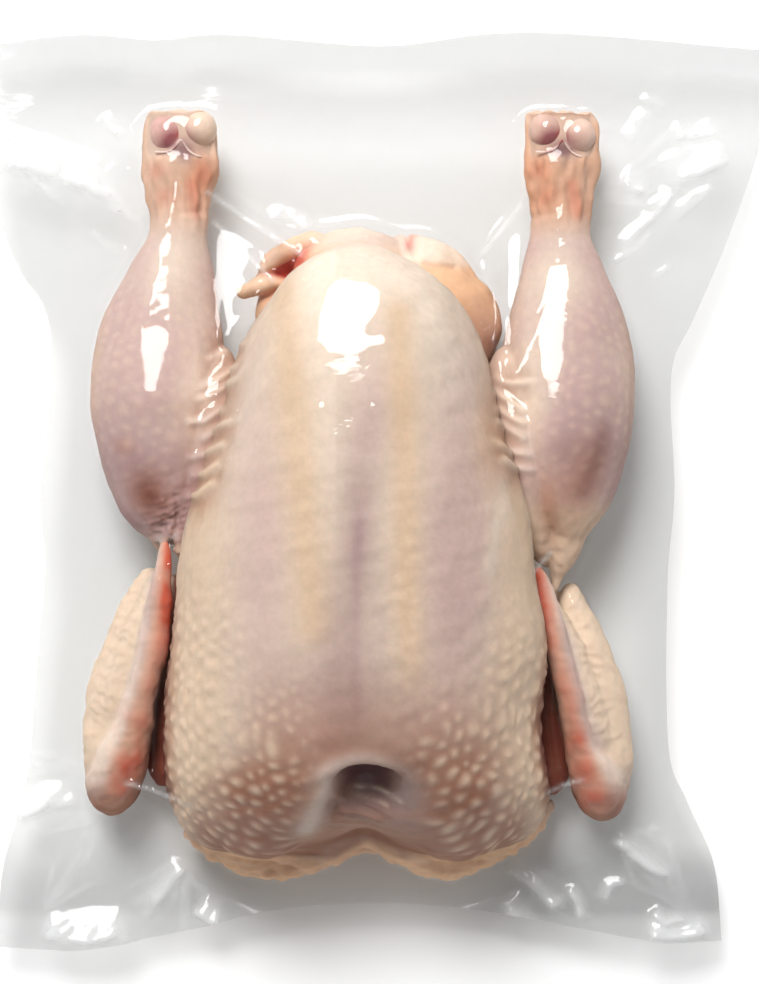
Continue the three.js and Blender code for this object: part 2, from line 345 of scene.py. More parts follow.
class Nodes:
    """Short calls for building the nodes of one material, or of a world."""

    def __init__(self, name, owner=None):
        self.material = owner or bpy.data.materials.new(name)
        self.material.use_nodes = True
        self.tree = self.material.node_tree
        self.tree.nodes.clear()

    def add(self, kind, inputs=None, **settings):
        node = self.tree.nodes.new(kind)
        for key, value in settings.items():
            setattr(node, key, value)
        for key, value in (inputs or {}).items():
            if isinstance(value, bpy.types.NodeSocket):
                self.tree.links.new(value, node.inputs[key])
            else:
                node.inputs[key].default_value = value
        return node

    def place(self):
        return self.add("ShaderNodeTexCoord").outputs["Object"]

    def stained(self, name):
        return self.add("ShaderNodeAttribute", attribute_name=name).outputs["Fac"]

    def noise(self, scale, detail=3.0, roughness=0.55, vector=None):
        inputs = {"Vector": vector or self.place(), "Scale": scale, "Detail": detail, "Roughness": roughness}
        return self.add("ShaderNodeTexNoise", inputs).outputs["Fac"]

    def span(self, value, low, high, to_low=0.0, to_high=1.0):
        inputs = {"Value": value, "From Min": low, "From Max": high, "To Min": to_low, "To Max": to_high}
        return self.add("ShaderNodeMapRange", inputs).outputs["Result"]

    def math(self, operation, *values):
        node = self.add("ShaderNodeMath", dict(enumerate(values)), operation=operation)
        return node.outputs[0]

    def mix(self, share, below, above, blend="MIX"):
        node = self.add("ShaderNodeMix", data_type="RGBA", blend_type=blend)
        for socket, value in zip((node.inputs[0], node.inputs[6], node.inputs[7]), (share, below, above)):
            if isinstance(value, bpy.types.NodeSocket):
                self.tree.links.new(value, socket)
            elif isinstance(value, (int, float)):
                socket.default_value = value
            else:
                socket.default_value = (*value[:3], 1)
        return node.outputs[2]

    def bump(self, height, strength, distance, onto=None):
        inputs = {"Height": height, "Strength": strength, "Distance": distance}
        if onto:
            inputs["Normal"] = onto
        return self.add("ShaderNodeBump", inputs).outputs["Normal"]

    def finish(self, shader, kind="Material"):
        output = self.add("ShaderNodeOutput" + kind)
        self.tree.links.new(shader, output.inputs["Surface"])
        return self.material


def flesh_material(name, base, stains, roughness=0.6, glow=0.1):
    """Raw skin or flesh: a base colour, stains over it in order, fine mottling, and light under the skin."""
    nodes = Nodes(name)
    place = nodes.place()
    broad = nodes.noise(48, 5, 0.6, vector=place)
    fine = nodes.noise(380, 4, 0.6, vector=place)
    colour = nodes.mix(nodes.span(broad, 0.3, 0.7), tuple(c * 0.93 for c in base), tuple(base))
    for stain_name, stain_colour in stains:
        amount = nodes.stained(stain_name)
        patchy = nodes.math("MULTIPLY", amount, nodes.span(broad, 0.25, 0.75, 0.86, 1.1))
        colour = nodes.mix(nodes.math("MINIMUM", patchy, 1.0), colour, tuple(stain_colour))
    speckle = nodes.span(fine, 0.3, 0.7, 0.94, 1.05)
    grey = nodes.add("ShaderNodeCombineColor", {0: speckle, 1: speckle, 2: speckle}).outputs[0]
    colour = nodes.mix(1.0, colour, grey, "MULTIPLY")
    height = nodes.math("ADD", fine, nodes.math("MULTIPLY", broad, 0.6))
    shader = nodes.add(
        "ShaderNodeBsdfPrincipled",
        {
            "Base Color": colour,
            "Roughness": roughness,
            "Specular IOR Level": 0.12,
            "Subsurface Weight": glow,
            "Subsurface Radius": (0.9, 0.35, 0.2),
            "Subsurface Scale": 0.005,
            "Normal": nodes.bump(height, 0.2, 0.0003),
        },
    )
    return nodes.finish(shader.outputs[0])


# The stains whose colours are settings, from the first that is laid on to the last.
SKIN_STAINS = ("pale", "pink", "yellow", "purple", "brown", "tan", "red")
# Colours that are not settings.
FOLLICLE = linear(214, 188, 164)
# Painted shade for the neck's hollow.
NECK_HOLLOW_SHADE = linear(112, 84, 86)
# Tan of the neck's rim, lightened as painted light, since the breast shades it.
NECK_RIM_PAINTED_LIGHT = linear(236, 194, 158)
CARTILAGE = linear(214, 174, 162)
# Purple of the cartilage, also laid as painted shade on the bone ends' lower sides.
CARTILAGE_PURPLE_AND_SHADE = linear(146, 84, 88)
IVORY = linear(220, 200, 176)
SINEW = linear(234, 214, 204)
TAIL_FAT = linear(224, 178, 140)
VENT_RED = linear(214, 96, 82)


def skin_material(bird):
    """The one raw skin of trunk, legs and wings, made once."""
    if "raw_skin" in bpy.data.materials:
        return bpy.data.materials["raw_skin"]
    stains = [(name, getattr(bird, name)) for name in SKIN_STAINS]
    stains += [("bumps", FOLLICLE), ("blood", bird.blood), ("hollow", NECK_HOLLOW_SHADE), ("rim", NECK_RIM_PAINTED_LIGHT)]
    return flesh_material("raw_skin", bird.skin, stains)


# ---- what a user may change ----


def colour_setting(name, description, default):
    return FloatVectorProperty(
        name=name, description=description, subtype="COLOR", default=default, min=0, max=1
    )


def flesh_setting(name, description, red, green, blue):
    return colour_setting(name, description, linear(red, green, blue))


def length_setting(name, description, default, low, high):
    description += ", in millimetres"
    return FloatProperty(name=name, description=description, default=default, min=low, max=high)


def distance_setting(name, description, default, low, high):
    return FloatProperty(
        name=name, description=description, default=default, min=low, max=high, unit="LENGTH"
    )


def power_setting(name, description, default):
    description += ", in watts"
    return FloatProperty(name=name, description=description, default=default, min=0, max=500)


class BirdSettings(bpy.types.PropertyGroup):
    breast_height: length_setting("Breast height", "From the surface to the top of the breast", 107, 60, 160)
    shoulder_half_width: length_setting("Shoulder half-width", "From the keel to its side", 69, 40, 110)
    bump_height: length_setting("Goose bumps", "How far the follicles stand out of the skin", 0.5, 0, 1.5)
    skin: flesh_setting("Skin", "Skin over muscle", 203, 184, 166)
    # Pale skin also stands in for painted light: on the breast's tip, beside the right leg and on the legs'
    # pleats.
    pale: flesh_setting("Pale skin", "Thin dry skin", 226, 208, 190)
    yellow: flesh_setting("Yellow fat", "Fat that shows through the skin", 202, 172, 140)
    pink: flesh_setting("Pink flesh", "Muscle that shows through the skin", 190, 162, 154)
    purple: flesh_setting("Purple flesh", "Dark muscle and veins under the skin", 148, 118, 120)
    # Brown also serves as painted shade in the wing gaps and the pleats' valleys, and in part at the neck
    # end.
    brown: flesh_setting("Brown flesh", "Dark flesh at the neck end", 152, 102, 78)
    tan: flesh_setting("Tan skin", "Thick skin at the hocks and the neck", 200, 150, 120)
    red: flesh_setting("Red flesh", "Bruised or bare flesh", 186, 82, 60)
    # Blood also serves as painted shade in the deepest folds and gaps.
    blood: flesh_setting("Blood", "Blood in the deepest folds", 84, 30, 26)


class BagSettings(bpy.types.PropertyGroup):
    film_gap: length_setting("Film gap", "From the skin to the film", 0.35, 0.1, 2)
    margin_height: length_setting("Margin height", "Of the bag's margin above the surface", 21, 5, 60)
    margin_gap: length_setting("Margin gap", "Between the two films of the margin", 0.6, 0.2, 3)
    tightness: FloatProperty(
        name="Tightness", description="How sharply the film bends into gaps", default=0.55, min=0.05, max=1
    )
    tint: colour_setting("Tint", "What one film lets through", (0.919, 0.922, 0.919))


class StageSettings(bpy.types.PropertyGroup):
    camera_height: distance_setting("Camera height", "Above the surface", 1.3, 0.3, 5)
    floor_size: distance_setting("Floor size", "Side of the floor", 6, 1, 20)
    key_power: power_setting("Key light", "Power of the soft light overhead", 76)
    gloss_power: power_setting("Gloss light", "Power of the panel that the film mirrors", 185)
    room_light: FloatProperty(
        name="Room light", description="Light from all round", default=0.45, min=0, max=3
    )


# ---- the bird ----

# The trunk, from the neck's rim to the tip of the breast: y, half-width as a share of the shoulders', top as
# a share of the breast's height, and underside.
TRUNK = [
    (-134, 0.02, 0.14, 14),
    (-133, 0.42, 0.2, 9),
    (-131, 0.6, 0.26, 5),
    (-128, 0.74, 0.37, 2),
    (-124, 0.82, 0.55, 1),
    (-121, 0.87, 0.65, 0),
    (-113, 0.945, 0.77, 0),
    (-97, 1.0, 0.885, 0),
    (-72, 0.985, 0.96, 0),
    (-45, 0.95, 0.995, 0),
    (-20, 0.91, 1.0, 0),
    (5, 0.81, 0.997, 0),
    (25, 0.715, 0.985, 0),
    (41, 0.655, 0.967, 0),
    (55, 0.59, 0.94, 1),
    (67, 0.49, 0.895, 4),
    (74, 0.4, 0.85, 7),
    (79, 0.3, 0.78, 9),
    (83, 0.19, 0.67, 13),
    (86, 0.09, 0.52, 20),
    (87, 0.02, 0.42, 24),
]
WIDEST_AT = 0.42  # height of the trunk's widest line, as a share of its depth
BUMP_ROOM = 0.6  # from the trunk's loft up to the breast's stated height
PRESSED_IN = 2.5  # how far the loft reaches below its listed underside, before it is pressed flat
LOWEST_SKIN = 0.8  # the lower film lies under it
BREAST_FRONTS = [(-38, -104.5, 46), (25, -104.5, 46)]  # the middle of each breast muscle's round front
BREAST_FRONT_RADII = (25, 24.5, 30)

# The lip of loose skin round the neck's opening: x, y, z.
NECK_LIP = [
    (-67, -113, 16), (-63, -123, 17), (-54, -129, 18), (-40, -133.5, 18), (-26, -131.5, 20),
    (-17, -127.5, 25), (-9, -122.5, 31), (1, -122.5, 32), (10, -127.5, 25), (24, -133.5, 19),
    (35, -131, 18), (45, -125.5, 17), (54, -118.5, 17), (60, -109, 17),
]
LIP_KNOTS = 90
LIP_DEPTH = 7.0
INTO_HOLLOW = np.array([0, 0.35, -0.94])  # the way that the neck's hollow goes into the trunk

# Follicles stand in staggered rows, and are uneven after a square table of random numbers.
ROW_SPACING = 0.87  # as a share of the spacing in a row
RANDOM_SQUARE = 64

# Stains on the breast, measured across from the bird's middle: lines, and spots by strength, centre, reach
# and, where they lie askew, turn.
LEFT_FAT = [(-27, 70), (-24, 45), (-20, 5), (-15, -45)]
RIGHT_FAT = [(13, 60), (15, 10), (15.6, -35), (17, -66)]
KEEL = [(3, 30), (0, 0), (-3, -40), (-1, -80)]
KEEL_VEIN = [(1, 5), (-1, -20), (-1.5, -50), (-1, -80)]
BREAST_PINK = [
    (1, (-33, -18), (11, 52)),
    (1.3, (34, -18), (13, 60), -4),
    (0.7, (5, 34), (9, 22)),
    (0.8, (-14, -74), (16, 22)),
    (0.5, (16, -78), (12, 16)),
]
BREAST_PURPLE = [
    (0.25, (32, -26), (12, 40)),
    (0.3, (-9, -58), (7, 24)),
    (0.2, (7, -50), (5, 20)),
    (0.4, (-33, -118), (9, 10)),
    (0.3, (0, -12), (5.5, 24)),
]


def trunk_forms(bird):
    """The trunk's own loft, the lip of skin round its neck, and the round fronts of its breast muscles."""
    places = np.arange(TRUNK[0][0], TRUNK[-1][0] + 0.1, 1.2)
    width, top, under = stations(TRUNK)(places)
    rings = []
    for i, y in enumerate(places):
        high, low = top[i] * bird.breast_height - BUMP_ROOM, under[i] - PRESSED_IN
        widest = low + (high - low) * WIDEST_AT
        half = max(width[i] * bird.shoulder_half_width, 0.5)
        centre = (MIDLINE, y, widest)
        rings.append(oval(centre, half, widest - low, high - widest, 3.2, 2.4, around=160))
    uneven = np.sin(np.linspace(0, 31, LIP_KNOTS)) * np.linspace(0.4, 1, LIP_KNOTS)
    lip = spline(NECK_LIP, np.linspace(0, 1, LIP_KNOTS))
    forms = [loft(rings), tube(lip, 4.8 + 0.6 * uneven, np.full(LIP_KNOTS, LIP_DEPTH))]
    return forms + [lump(middle, BREAST_FRONT_RADII) for middle in BREAST_FRONTS]


def goose_bumps(along, across, spacing=6.0, seed=3):
    """Follicles in uneven staggered rows: 1 at the middle of each, falling to 0 between them."""
    drift = Ripple(seed, 34, 3)
    place = (along + 0.9 * drift(along, across)) / spacing
    row = (across + 0.9 * drift(across + 90, along)) / (spacing * ROW_SPACING)
    best = np.zeros(np.shape(along))
    random = np.random.default_rng(seed)
    shifts = random.uniform(-0.17, 0.17, (RANDOM_SQUARE, RANDOM_SQUARE, 2))
    sizes = random.uniform(0.75, 1.12, (RANDOM_SQUARE, RANDOM_SQUARE))
    for step in (0, 1):
        line = np.floor(row) + step
        offset = 0.5 * (line % 2)
        for side in (0, 1):
            column = np.floor(place - offset) + side
            i, j = line.astype(int) % RANDOM_SQUARE, column.astype(int) % RANDOM_SQUARE
            away_along = place - offset - column - shifts[i, j, 0]
            away_across = ROW_SPACING * (row - line) - shifts[i, j, 1]
            away = np.hypot(away_along, away_across) / (0.29 * sizes[i, j])
            best = np.maximum(best, sizes[i, j] * np.exp(-(away**2.2)))
    return np.minimum(best, 1)


def neck_marks(across, y, z, wrinkles):
    """The forms round the hollow at the neck end, each 1 where it is strongest."""
    front = smooth_step(34, 46, z)
    arch = y + 0.02 * (across - 1) ** 2
    pit = np.exp(-(np.abs((across - 2.5) / 9.5) ** 3))
    pit *= smooth_step(-92, -96, arch) * smooth_step(-119, -103, y)
    pit = np.maximum(pit, 0.3 * spot(across, y, (-9, -111), (4, 5))) * front
    bowl = spot(across, y, (13, -107), (9, 11)) * front * (1 - pit)
    flap = streak(across, y, [(-9.6, -96), (-13, -106), (-18.4, -117)], 4.8) * front * (1 - pit)
    bridge = bell(across + 0.15 * (y + 90), -1, 14) * bell(arch, -90.5, 3)
    threads = streak(across, y, [(-4, -107.4), (1, -108.8), (7, -108.2), (14, -109.8)], 0.9)
    threads = np.maximum(threads, streak(across, y, [(-3, -110), (4, -111.2), (9, -112.6)], 0.9))
    return SimpleNamespace(
        pit=pit,
        bowl=bowl,
        flap=flap,
        bridge=bridge,
        whole=np.clip(pit + bowl + flap + bridge, 0, 1),
        basin=spot(across, y, (4, -112), (14, 6)) * smooth_step(26, 36, z) * (1 - flap),
        gathers=spot(across, y, (-1, -116), (9, 3.6)),
        threads=threads * front * np.clip(0.75 + 0.5 * wrinkles, 0.3, 1),
    )


def trunk_marks(bird, points):
    """What both the shape and the stains of the trunk's skin follow."""
    x, y, z = points.T
    across = x - MIDLINE
    side = np.abs(across)
    waves = Ripple(11, 60, 2)(x, y, z)
    wrinkles = Ripple(12, 9, 2, (1, 0.5, 1))(x, y, z)
    neck = neck_marks(across, y, z, wrinkles)
    valley = bell(across, 0, 21) * smooth_step(-84, -114, y) * smooth_step(28, 42, z)

    rows = smooth_step(10, 26, side) * smooth_step(-48, -84, y)
    rows = np.maximum(rows, smooth_step(34, 46, side) * smooth_step(-18, -62, y + 0.08 * across))
    rows = np.maximum(rows, 0.6 * spot(across, y, (15, -42), (8, 36)))
    rows *= 1 - np.clip(1.3 * neck.whole + 0.8 * valley, 0, 1)
    rows *= smooth_step(8, 20, z) * smooth_step(-131, -124, y)
    closer = np.where(across > 0, 0.88, 1)
    below = bird.breast_height - z
    down_the_side = np.hypot(across, 0.95 * np.maximum(0, below)) * np.sign(across)
    along = y - 0.12 * below * smooth_step(-80, -130, y)

    crests, groove = np.maximum(pleat_marks(x, y, LEFT), pleat_marks(x, y, RIGHT))
    towards_neck = smooth_step(-112, -124, y)
    return SimpleNamespace(
        across=across,
        side=side,
        waves=waves,
        wrinkles=wrinkles,
        neck=neck,
        valley=valley,
        bumps=rows * goose_bumps(along * closer, down_the_side * closer),
        fatty=spot(across, y, (43, 17), (6, 16)),
        crests=crests,
        groove=groove,
        lip=towards_neck * smooth_step(32, 22, z),
        crevice=bell(z, 31.5 + waves, 2.2) * towards_neck * smooth_step(8, 20, side),
    )


def shaped_trunk(bird, points, normals, marks):
    """Where the trunk's points go: fine forms along its normals first, and then larger ones."""
    x, y, z = points.T
    across, neck = marks.across, marks.neck
    keel = bell(across - 1.5 * np.sin(y / 38), 0, 7) * smooth_step(10, -50, y) * smooth_step(50, 70, z)
    push = (1 + 0.5 * smooth_step(40, 60, marks.side)) * bird.bump_height * marks.bumps
    push += 0.3 * marks.waves + 0.1 * Ripple(13, 13, 2)(x, y, z)
    push += 0.9 * neck.bridge - 1.1 * keel - 6 * marks.valley - 1.5 * marks.crevice
    push += 1.4 * (marks.crests - 0.4) * marks.groove * smooth_step(38, 46, z) * smooth_step(98, 72, z)
    push += 0.4 * marks.wrinkles * np.maximum(marks.lip, 0.5 * neck.pit)
    push += 0.9 * neck.gathers * np.sin(1.5 * y + 0.5 * across) + 0.5 * neck.threads
    moved = points + normals * push[:, None]
    moved += INTO_HOLLOW * (14 * neck.pit + 3.5 * neck.bowl - 1.3 * neck.flap)[:, None]
    moved[:, 1] += 6 * bell(across, 2, 9) * smooth_step(-120, -131, y)
    moved[:, 0] -= (3 * bell(y, -28, 18) + 5.2 * bell(y, -80, 24)) * smooth_step(26, 64, across)
    moved[:, 0] += 2.5 * smooth_step(-20, -40, across) * bell(y, 70, 16)
    moved[:, 2] = np.maximum(moved[:, 2], LOWEST_SKIN)
    return moved


def stain_breast(piece, points, top_side, marks):
    """The colours of fat, thin skin and muscle that show through the skin of the breast, with painted light
    on its tip, a painted sheen beside the right leg and painted shade in the neck's hollow.
    """
    x, y, _ = points.T
    across, side, neck = marks.across, marks.side, marks.neck
    # Painted sheen: this pale band on the right flank, where the film bridges the groove by the right leg,
    # stands in for the film's whitish sheen, and thins the yellow and pink there.
    dry = streak(x, y, [(44, 9), (42.6, -3), (39, -18), (37.4, -27)], 3)
    strips = np.maximum(0.75 * streak(across, y, LEFT_FAT, 6.5), 0.8 * streak(across, y, RIGHT_FAT, 5.2))
    flanks = smooth_step(38, 56, side) * smooth_step(75, 20, y) * smooth_step(-125, -100, y)
    flanks = 0.62 * flanks * (1 - 0.6 * dry) + 0.55 * marks.fatty
    stain(piece, "yellow", np.maximum(strips * smooth_step(-74, -50, y), flanks) * top_side)
    # Painted light: the breast's tip is painted paler where the light falls on it and the film glares over
    # it; a band left of the keel is paler too.
    tip = smooth_step(20, 70, y) * smooth_step(45, 20, side)
    tip += 0.5 * smooth_step(-30, -10, across) * (across < -8)
    pale = 0.6 * tip * smooth_step(-50, 40, y) + 0.3 * dry
    pale += 0.85 * neck.flap + 0.2 * neck.bridge + 0.3 * neck.gathers + 0.8 * neck.threads
    stain(piece, "pale", pale * top_side)
    pink = np.minimum(spots(across, y, BREAST_PINK), 1)
    stain(piece, "pink", 0.8 * pink * (1 - 0.7 * dry) * top_side)
    hollow = np.maximum.reduce([neck.pit, 0.7 * neck.bowl, 0.75 * neck.basin]) * (1 - 0.8 * neck.threads)
    purple = 0.3 * streak(across, y, KEEL, 8.5) * smooth_step(40, 18, y)
    purple += 0.22 * streak(across, y, KEEL_VEIN, 2.2) * smooth_step(0, -16, y)
    purple += spots(across, y, BREAST_PURPLE)
    purple += 0.95 * hollow + 0.3 * neck.flap + 0.3 * neck.bridge
    stain(piece, "purple", purple * top_side)
    # Painted shade: the hollow stain lays a dark grey-purple in the neck's pit, bowl and basin.
    stain(piece, "hollow", 0.75 * hollow)


def stain_neck_end(piece, points, normals, marks):
    """The colours of the neck end, of the gaps beside the wings and of the pleats beside the legs, with
    painted light on the neck's rim and painted shade in the gaps, the pleats' valleys and the neck's crease
    and pit.
    """
    _, y, z = points.T
    across, side, neck = marks.across, marks.side, marks.neck
    # Painted light: the rim lies in the breast's shade and gets a lighter tan, evened out for the light:
    # weaker at the middle, stronger on the right.
    uneven = 0.86 + 0.1 * marks.waves + 0.14 * marks.wrinkles
    uneven += 0.2 * smooth_step(10, 30, across) - 0.5 * bell(across, 0, 15)
    rim = smooth_step(-110, -126, y) * smooth_step(33 + 2 * marks.waves, 27, z)
    stain(piece, "rim", uneven * rim)
    stain(piece, "tan", 0.95 * smooth_step(-108, -126, y) * smooth_step(30, 24, z))

    # The brown of the lower neck end is partly the skin's colour and partly painted shade where it faces away
    # from the light; in the gaps beside the wings and in the valleys between the pleats it is painted shade.
    reach = np.where(across > 0, 63, 50 + 14 * smooth_step(-84, -104, y))
    low = smooth_step(-48, -108, y) * smooth_step(reach, reach - 24, side)
    low = np.maximum(low, 0.9 * smooth_step(-94, -118, y) * smooth_step(66, 50, side))
    low *= (1 - np.maximum(0.9 * neck.whole, 0.6 * neck.basin)) * smooth_step(-0.5, 0, normals[:, 2])
    gaps = smooth_step(60, 68, side) * smooth_step(-22, -62, y) * smooth_step(-118, -104, y)
    pleat_valley_shade = marks.groove * (1 - marks.crests) * smooth_step(36, 44, side)
    brown = np.maximum.reduce([low * (1 - 0.85 * marks.lip), 0.8 * gaps, 0.65 * pleat_valley_shade])
    stain(piece, "brown", brown + 0.22 * marks.fatty)

    # Painted shade: the blood colour darkens the gap under each wing and the crease above the neck's lip; in
    # the neck's pit and the lower neck end it is partly the flesh's dark red and partly painted shade.
    under_wing_shade = smooth_step(64, 69, side) * smooth_step(-34, -66, y) * smooth_step(-116, -100, y)
    wet = 0.85 * neck.pit * (1 - neck.threads) * smooth_step(-118, -102, y)
    wet += 0.14 * low * (1 - marks.lip)
    stain(piece, "blood", np.maximum.reduce([0.5 * marks.crevice, under_wing_shade, wet]))
    light_bumps = (0.5 + 0.35 * smooth_step(-60, -100, y)) * marks.bumps
    stain(piece, "bumps", light_bumps + 0.3 * spot(across, y, (0, -123), (16, 5)))


def build_trunk(bird, flesh):
    """The trunk, fused from its forms, shaped point by point and stained."""
    piece = fused("trunk", trunk_forms(bird), voxel=1.12, smoothing=5)
    points, normals = skin_points(piece)
    marks = trunk_marks(bird, points)
    move_points(piece, shaped_trunk(bird, points, normals, marks))
    stain_breast(piece, points, smooth_step(-0.1, 0.35, normals[:, 2]), marks)
    stain_neck_end(piece, points, normals, marks)
    return finish_piece(piece, flesh)


# A drumstick: y, share of the way from the hock's line to the knee's, height of its spine, half-width and
# half-depth.
DRUMSTICK = [
    (-21, 0.85, 40, 0.5, 0.5),
    (-19, 0.85, 40, 2.5, 3),
    (-13, 0.92, 40, 8, 9),
    (-5, 0.97, 39, 14.2, 14),
    (7, 1, 37, 19.3, 18),
    (20, 1, 36, 22.4, 20.3),
    (31, 1, 35.4, 23.6, 20.6),
    (40, 0.99, 34.6, 23.6, 19.7),
    (47, 0.97, 33.6, 23.0, 19.0),
    (57, 0.92, 32, 21.5, 17.6),
    (68, 0.75, 30.6, 18.5, 15.4),
    (80, 0.45, 29.6, 14.3, 12.6),
    (92, 0.12, 29, 10.3, 10.6),
    (100, 0, 28.5, 10.2, 10.4),
    (115, 0, 28, 13.4, 11.4),
    (124, 0, 28, 12.6, 11.2),
    (132, 0, 28, 12.2, 10.6),
    (134.4, 0, 28, 11.4, 9.6),
]
# The skin that fills the groove between a drumstick and the trunk: y, how far beyond the thigh's line, and
# half-width and half-depth.
THIGH = [
    (-26, 12, 1, 2),
    (-20, 10, 5, 8),
    (-8, 6, 10, 13),
    (8, 3, 13, 15.5),
    (24, 1, 12.5, 15.5),
    (36, 0, 10, 12),
    (44, -1, 6.5, 8.5),
    (49, -2, 3, 4.5),
    (51, -2, 0.5, 1),
]
SIDE_NAME = {LEFT: "left", RIGHT: "right"}
HOCK_OUT = {LEFT: 70.2, RIGHT: 63.8}  # from the bag's middle line
KNEE_OUT = {LEFT: 78.0, RIGHT: 66.5}
THIGH_OUT = {LEFT: 57, RIGHT: 46}
THIGH_HEIGHT = 37
SKIN_RADIUS = 19  # of the drumstick, for spacing the follicles round it

# The pleats of skin in the groove between the trunk and each leg, in plan, from the leg to the trunk.
PLEATS = {
    LEFT: [
        [(-58.5, 46.8), (-53.4, 49.7), (-48, 51.4)],
        [(-61.5, 36.6), (-55, 40), (-50.5, 43)],
        [(-62, 32.4), (-55.4, 35.4), (-49.2, 39), (-45.7, 43.8)],
        [(-65.5, 24.2), (-61, 24.6), (-55, 28.4)],
        [(-61, 18.6), (-55, 22.2), (-47.1, 25.4)],
        [(-65.5, 11.8), (-60, 13), (-53.5, 16)],
        [(-65, 5.2), (-59.5, 6), (-55, 9.4)],
        [(-67, -1.8), (-62.4, -1.4), (-57.5, 2.6)],
    ],
    RIGHT: [
        [(53, 38.4), (46, 37.6), (41.5, 39)],
        [(50, 28.8), (45, 31.6), (40.5, 34.6)],
        [(50, 23.8), (45.4, 26), (41.4, 28.6)],
        [(50, 18.8), (45.4, 21.6), (41.4, 24.2)],
        [(52.6, 12.8), (45.2, 14), (38, 17.6)],
        [(53, 7.4), (47, 8.4), (42.6, 11)],
    ],
}
PLEAT_WIDTH, GROOVE_WIDTH = 1.5, 7  # how far their marks reach

# Small folds of loose skin at the left knee, beside the tip of the wing: x, y, z.
LEFT_KNEE_FOLDS = [
    [(-66, 2, 47), (-69, -8, 46), (-72, -16, 47)],
    [(-74, -4, 49), (-72, -11, 48), (-69, -19, 46)],
    [(-70, -5, 48), (-73.5, -13, 48), (-76, -20, 47)],
    [(-63, -4, 48), (-66, -13, 46), (-70.5, -21, 46)],
]
# The skin that runs on from the right knee: y, x, z, half-width and half-depth.
RIGHT_KNEE_SKIN = [
    (-36, 61.3, 38, 0.8, 0.8),
    (-30, 62.2, 38, 2, 2.4),
    (-24, 64, 39, 4.2, 4.4),
    (-13, 65.4, 39, 8, 8),
    (-4, 68.5, 39, 10.5, 10.5),
    (0, 69, 38, 10.5, 10.5),
]

# How the skin of each leg differs: where it is gathered at the knee and how loose it is there, how far it
# leans to the trunk, where the knee's colour starts and ends, where a pale spot is painted on as painted
# light (smooth), where it is orange above the hock, and how strong its stains are.
LEG_LOOKS = {
    LEFT: SimpleNamespace(
        knot=(-72, -8),
        loose=1,
        lean=0.06,
        knee=(-10, -24),
        smooth=((-63, 32), (7, 24)),
        orange=(111, 6),
        tan=0.6,
        purple=0.6,
        knee_pale=0.4,
        dark=0.78,
        blood=0.25,
        bumps=0.27,
    ),
    RIGHT: SimpleNamespace(
        knot=(60, -22),
        loose=0.3,
        lean=0.16,
        knee=(4, -12),
        smooth=((50, 18), (8, 28)),
        orange=(110, 5),
        tan=0.85,
        purple=0.5,
        knee_pale=0.25,
        dark=0.6,
        blood=0.5,
        bumps=0.3,
    ),
}


def pleat_marks(x, y, side):
    """How near each place is to the crest of a pleat, and to the groove that the pleats lie in."""
    crests = np.zeros(np.shape(x))
    for path in PLEATS[side]:
        crests = np.maximum(crests, streak(x, y, path, PLEAT_WIDTH))
    return crests, streak(x, y, [path[1] for path in PLEATS[side]], GROOVE_WIDTH)


def leg_forms(side, drumstick):
    """The drumstick, the skin between it and the trunk, and the loose skin at the knee."""
    beside = side * THIGH_OUT[side]
    thigh = [(y, side * (THIGH_OUT[side] + out), THIGH_HEIGHT, wide, deep) for y, out, wide, deep in THIGH]
    forms = [limb(drumstick), limb(thigh), lump((beside, 8, 31), (25, 33, 16))]
    if side == RIGHT:
        return forms + [limb(RIGHT_KNEE_SKIN)]
    wide, deep = 0.9 + 0.7 * LINE, np.full_like(LINE, 1.6)
    return forms + [tube(spline(fold, LINE), wide, deep) for fold in LEFT_KNEE_FOLDS]


def leg_marks(side, drumstick, points, normals):
    """What both the shape and the stains of a leg's skin follow."""
    x, y, z = points.T
    axis = stations(sorted((row[0], row[1]) for row in drumstick))(y)[0]
    above = smooth_step(0.0, 0.4, normals[:, 2])
    opening = smooth_step(12.4, 10.2, np.abs(x - axis)) * above
    opening *= smooth_step(116.5, 120, y) * smooth_step(134.4, 132.4, y)
    round_it = SKIN_RADIUS * np.arctan2(z - 33, x - axis)
    between = spot(x, y, (axis + 0.5, 120), (4.4, 3.6))
    if side == LEFT:
        between = 0.8 * between + 0.6 * spot(x, y, (axis + 2.6, 117), (2.4, 3.4))
    crests, groove = pleat_marks(x, y, side)
    return SimpleNamespace(
        axis=axis,
        out=(x - axis) * side,
        above=above,
        opening=opening,
        between=between,
        bumps=goose_bumps(y, round_it, 5.6, 5 + side) * smooth_step(84, 60, y) * smooth_step(20, 30, z),
        crests=crests,
        groove=groove,
        waves=Ripple(21 + side, 44, 2)(x, y, z),
        wrinkles=Ripple(24 + side, 9, 2, (1, 2.2, 1))(x, y, z),
    )


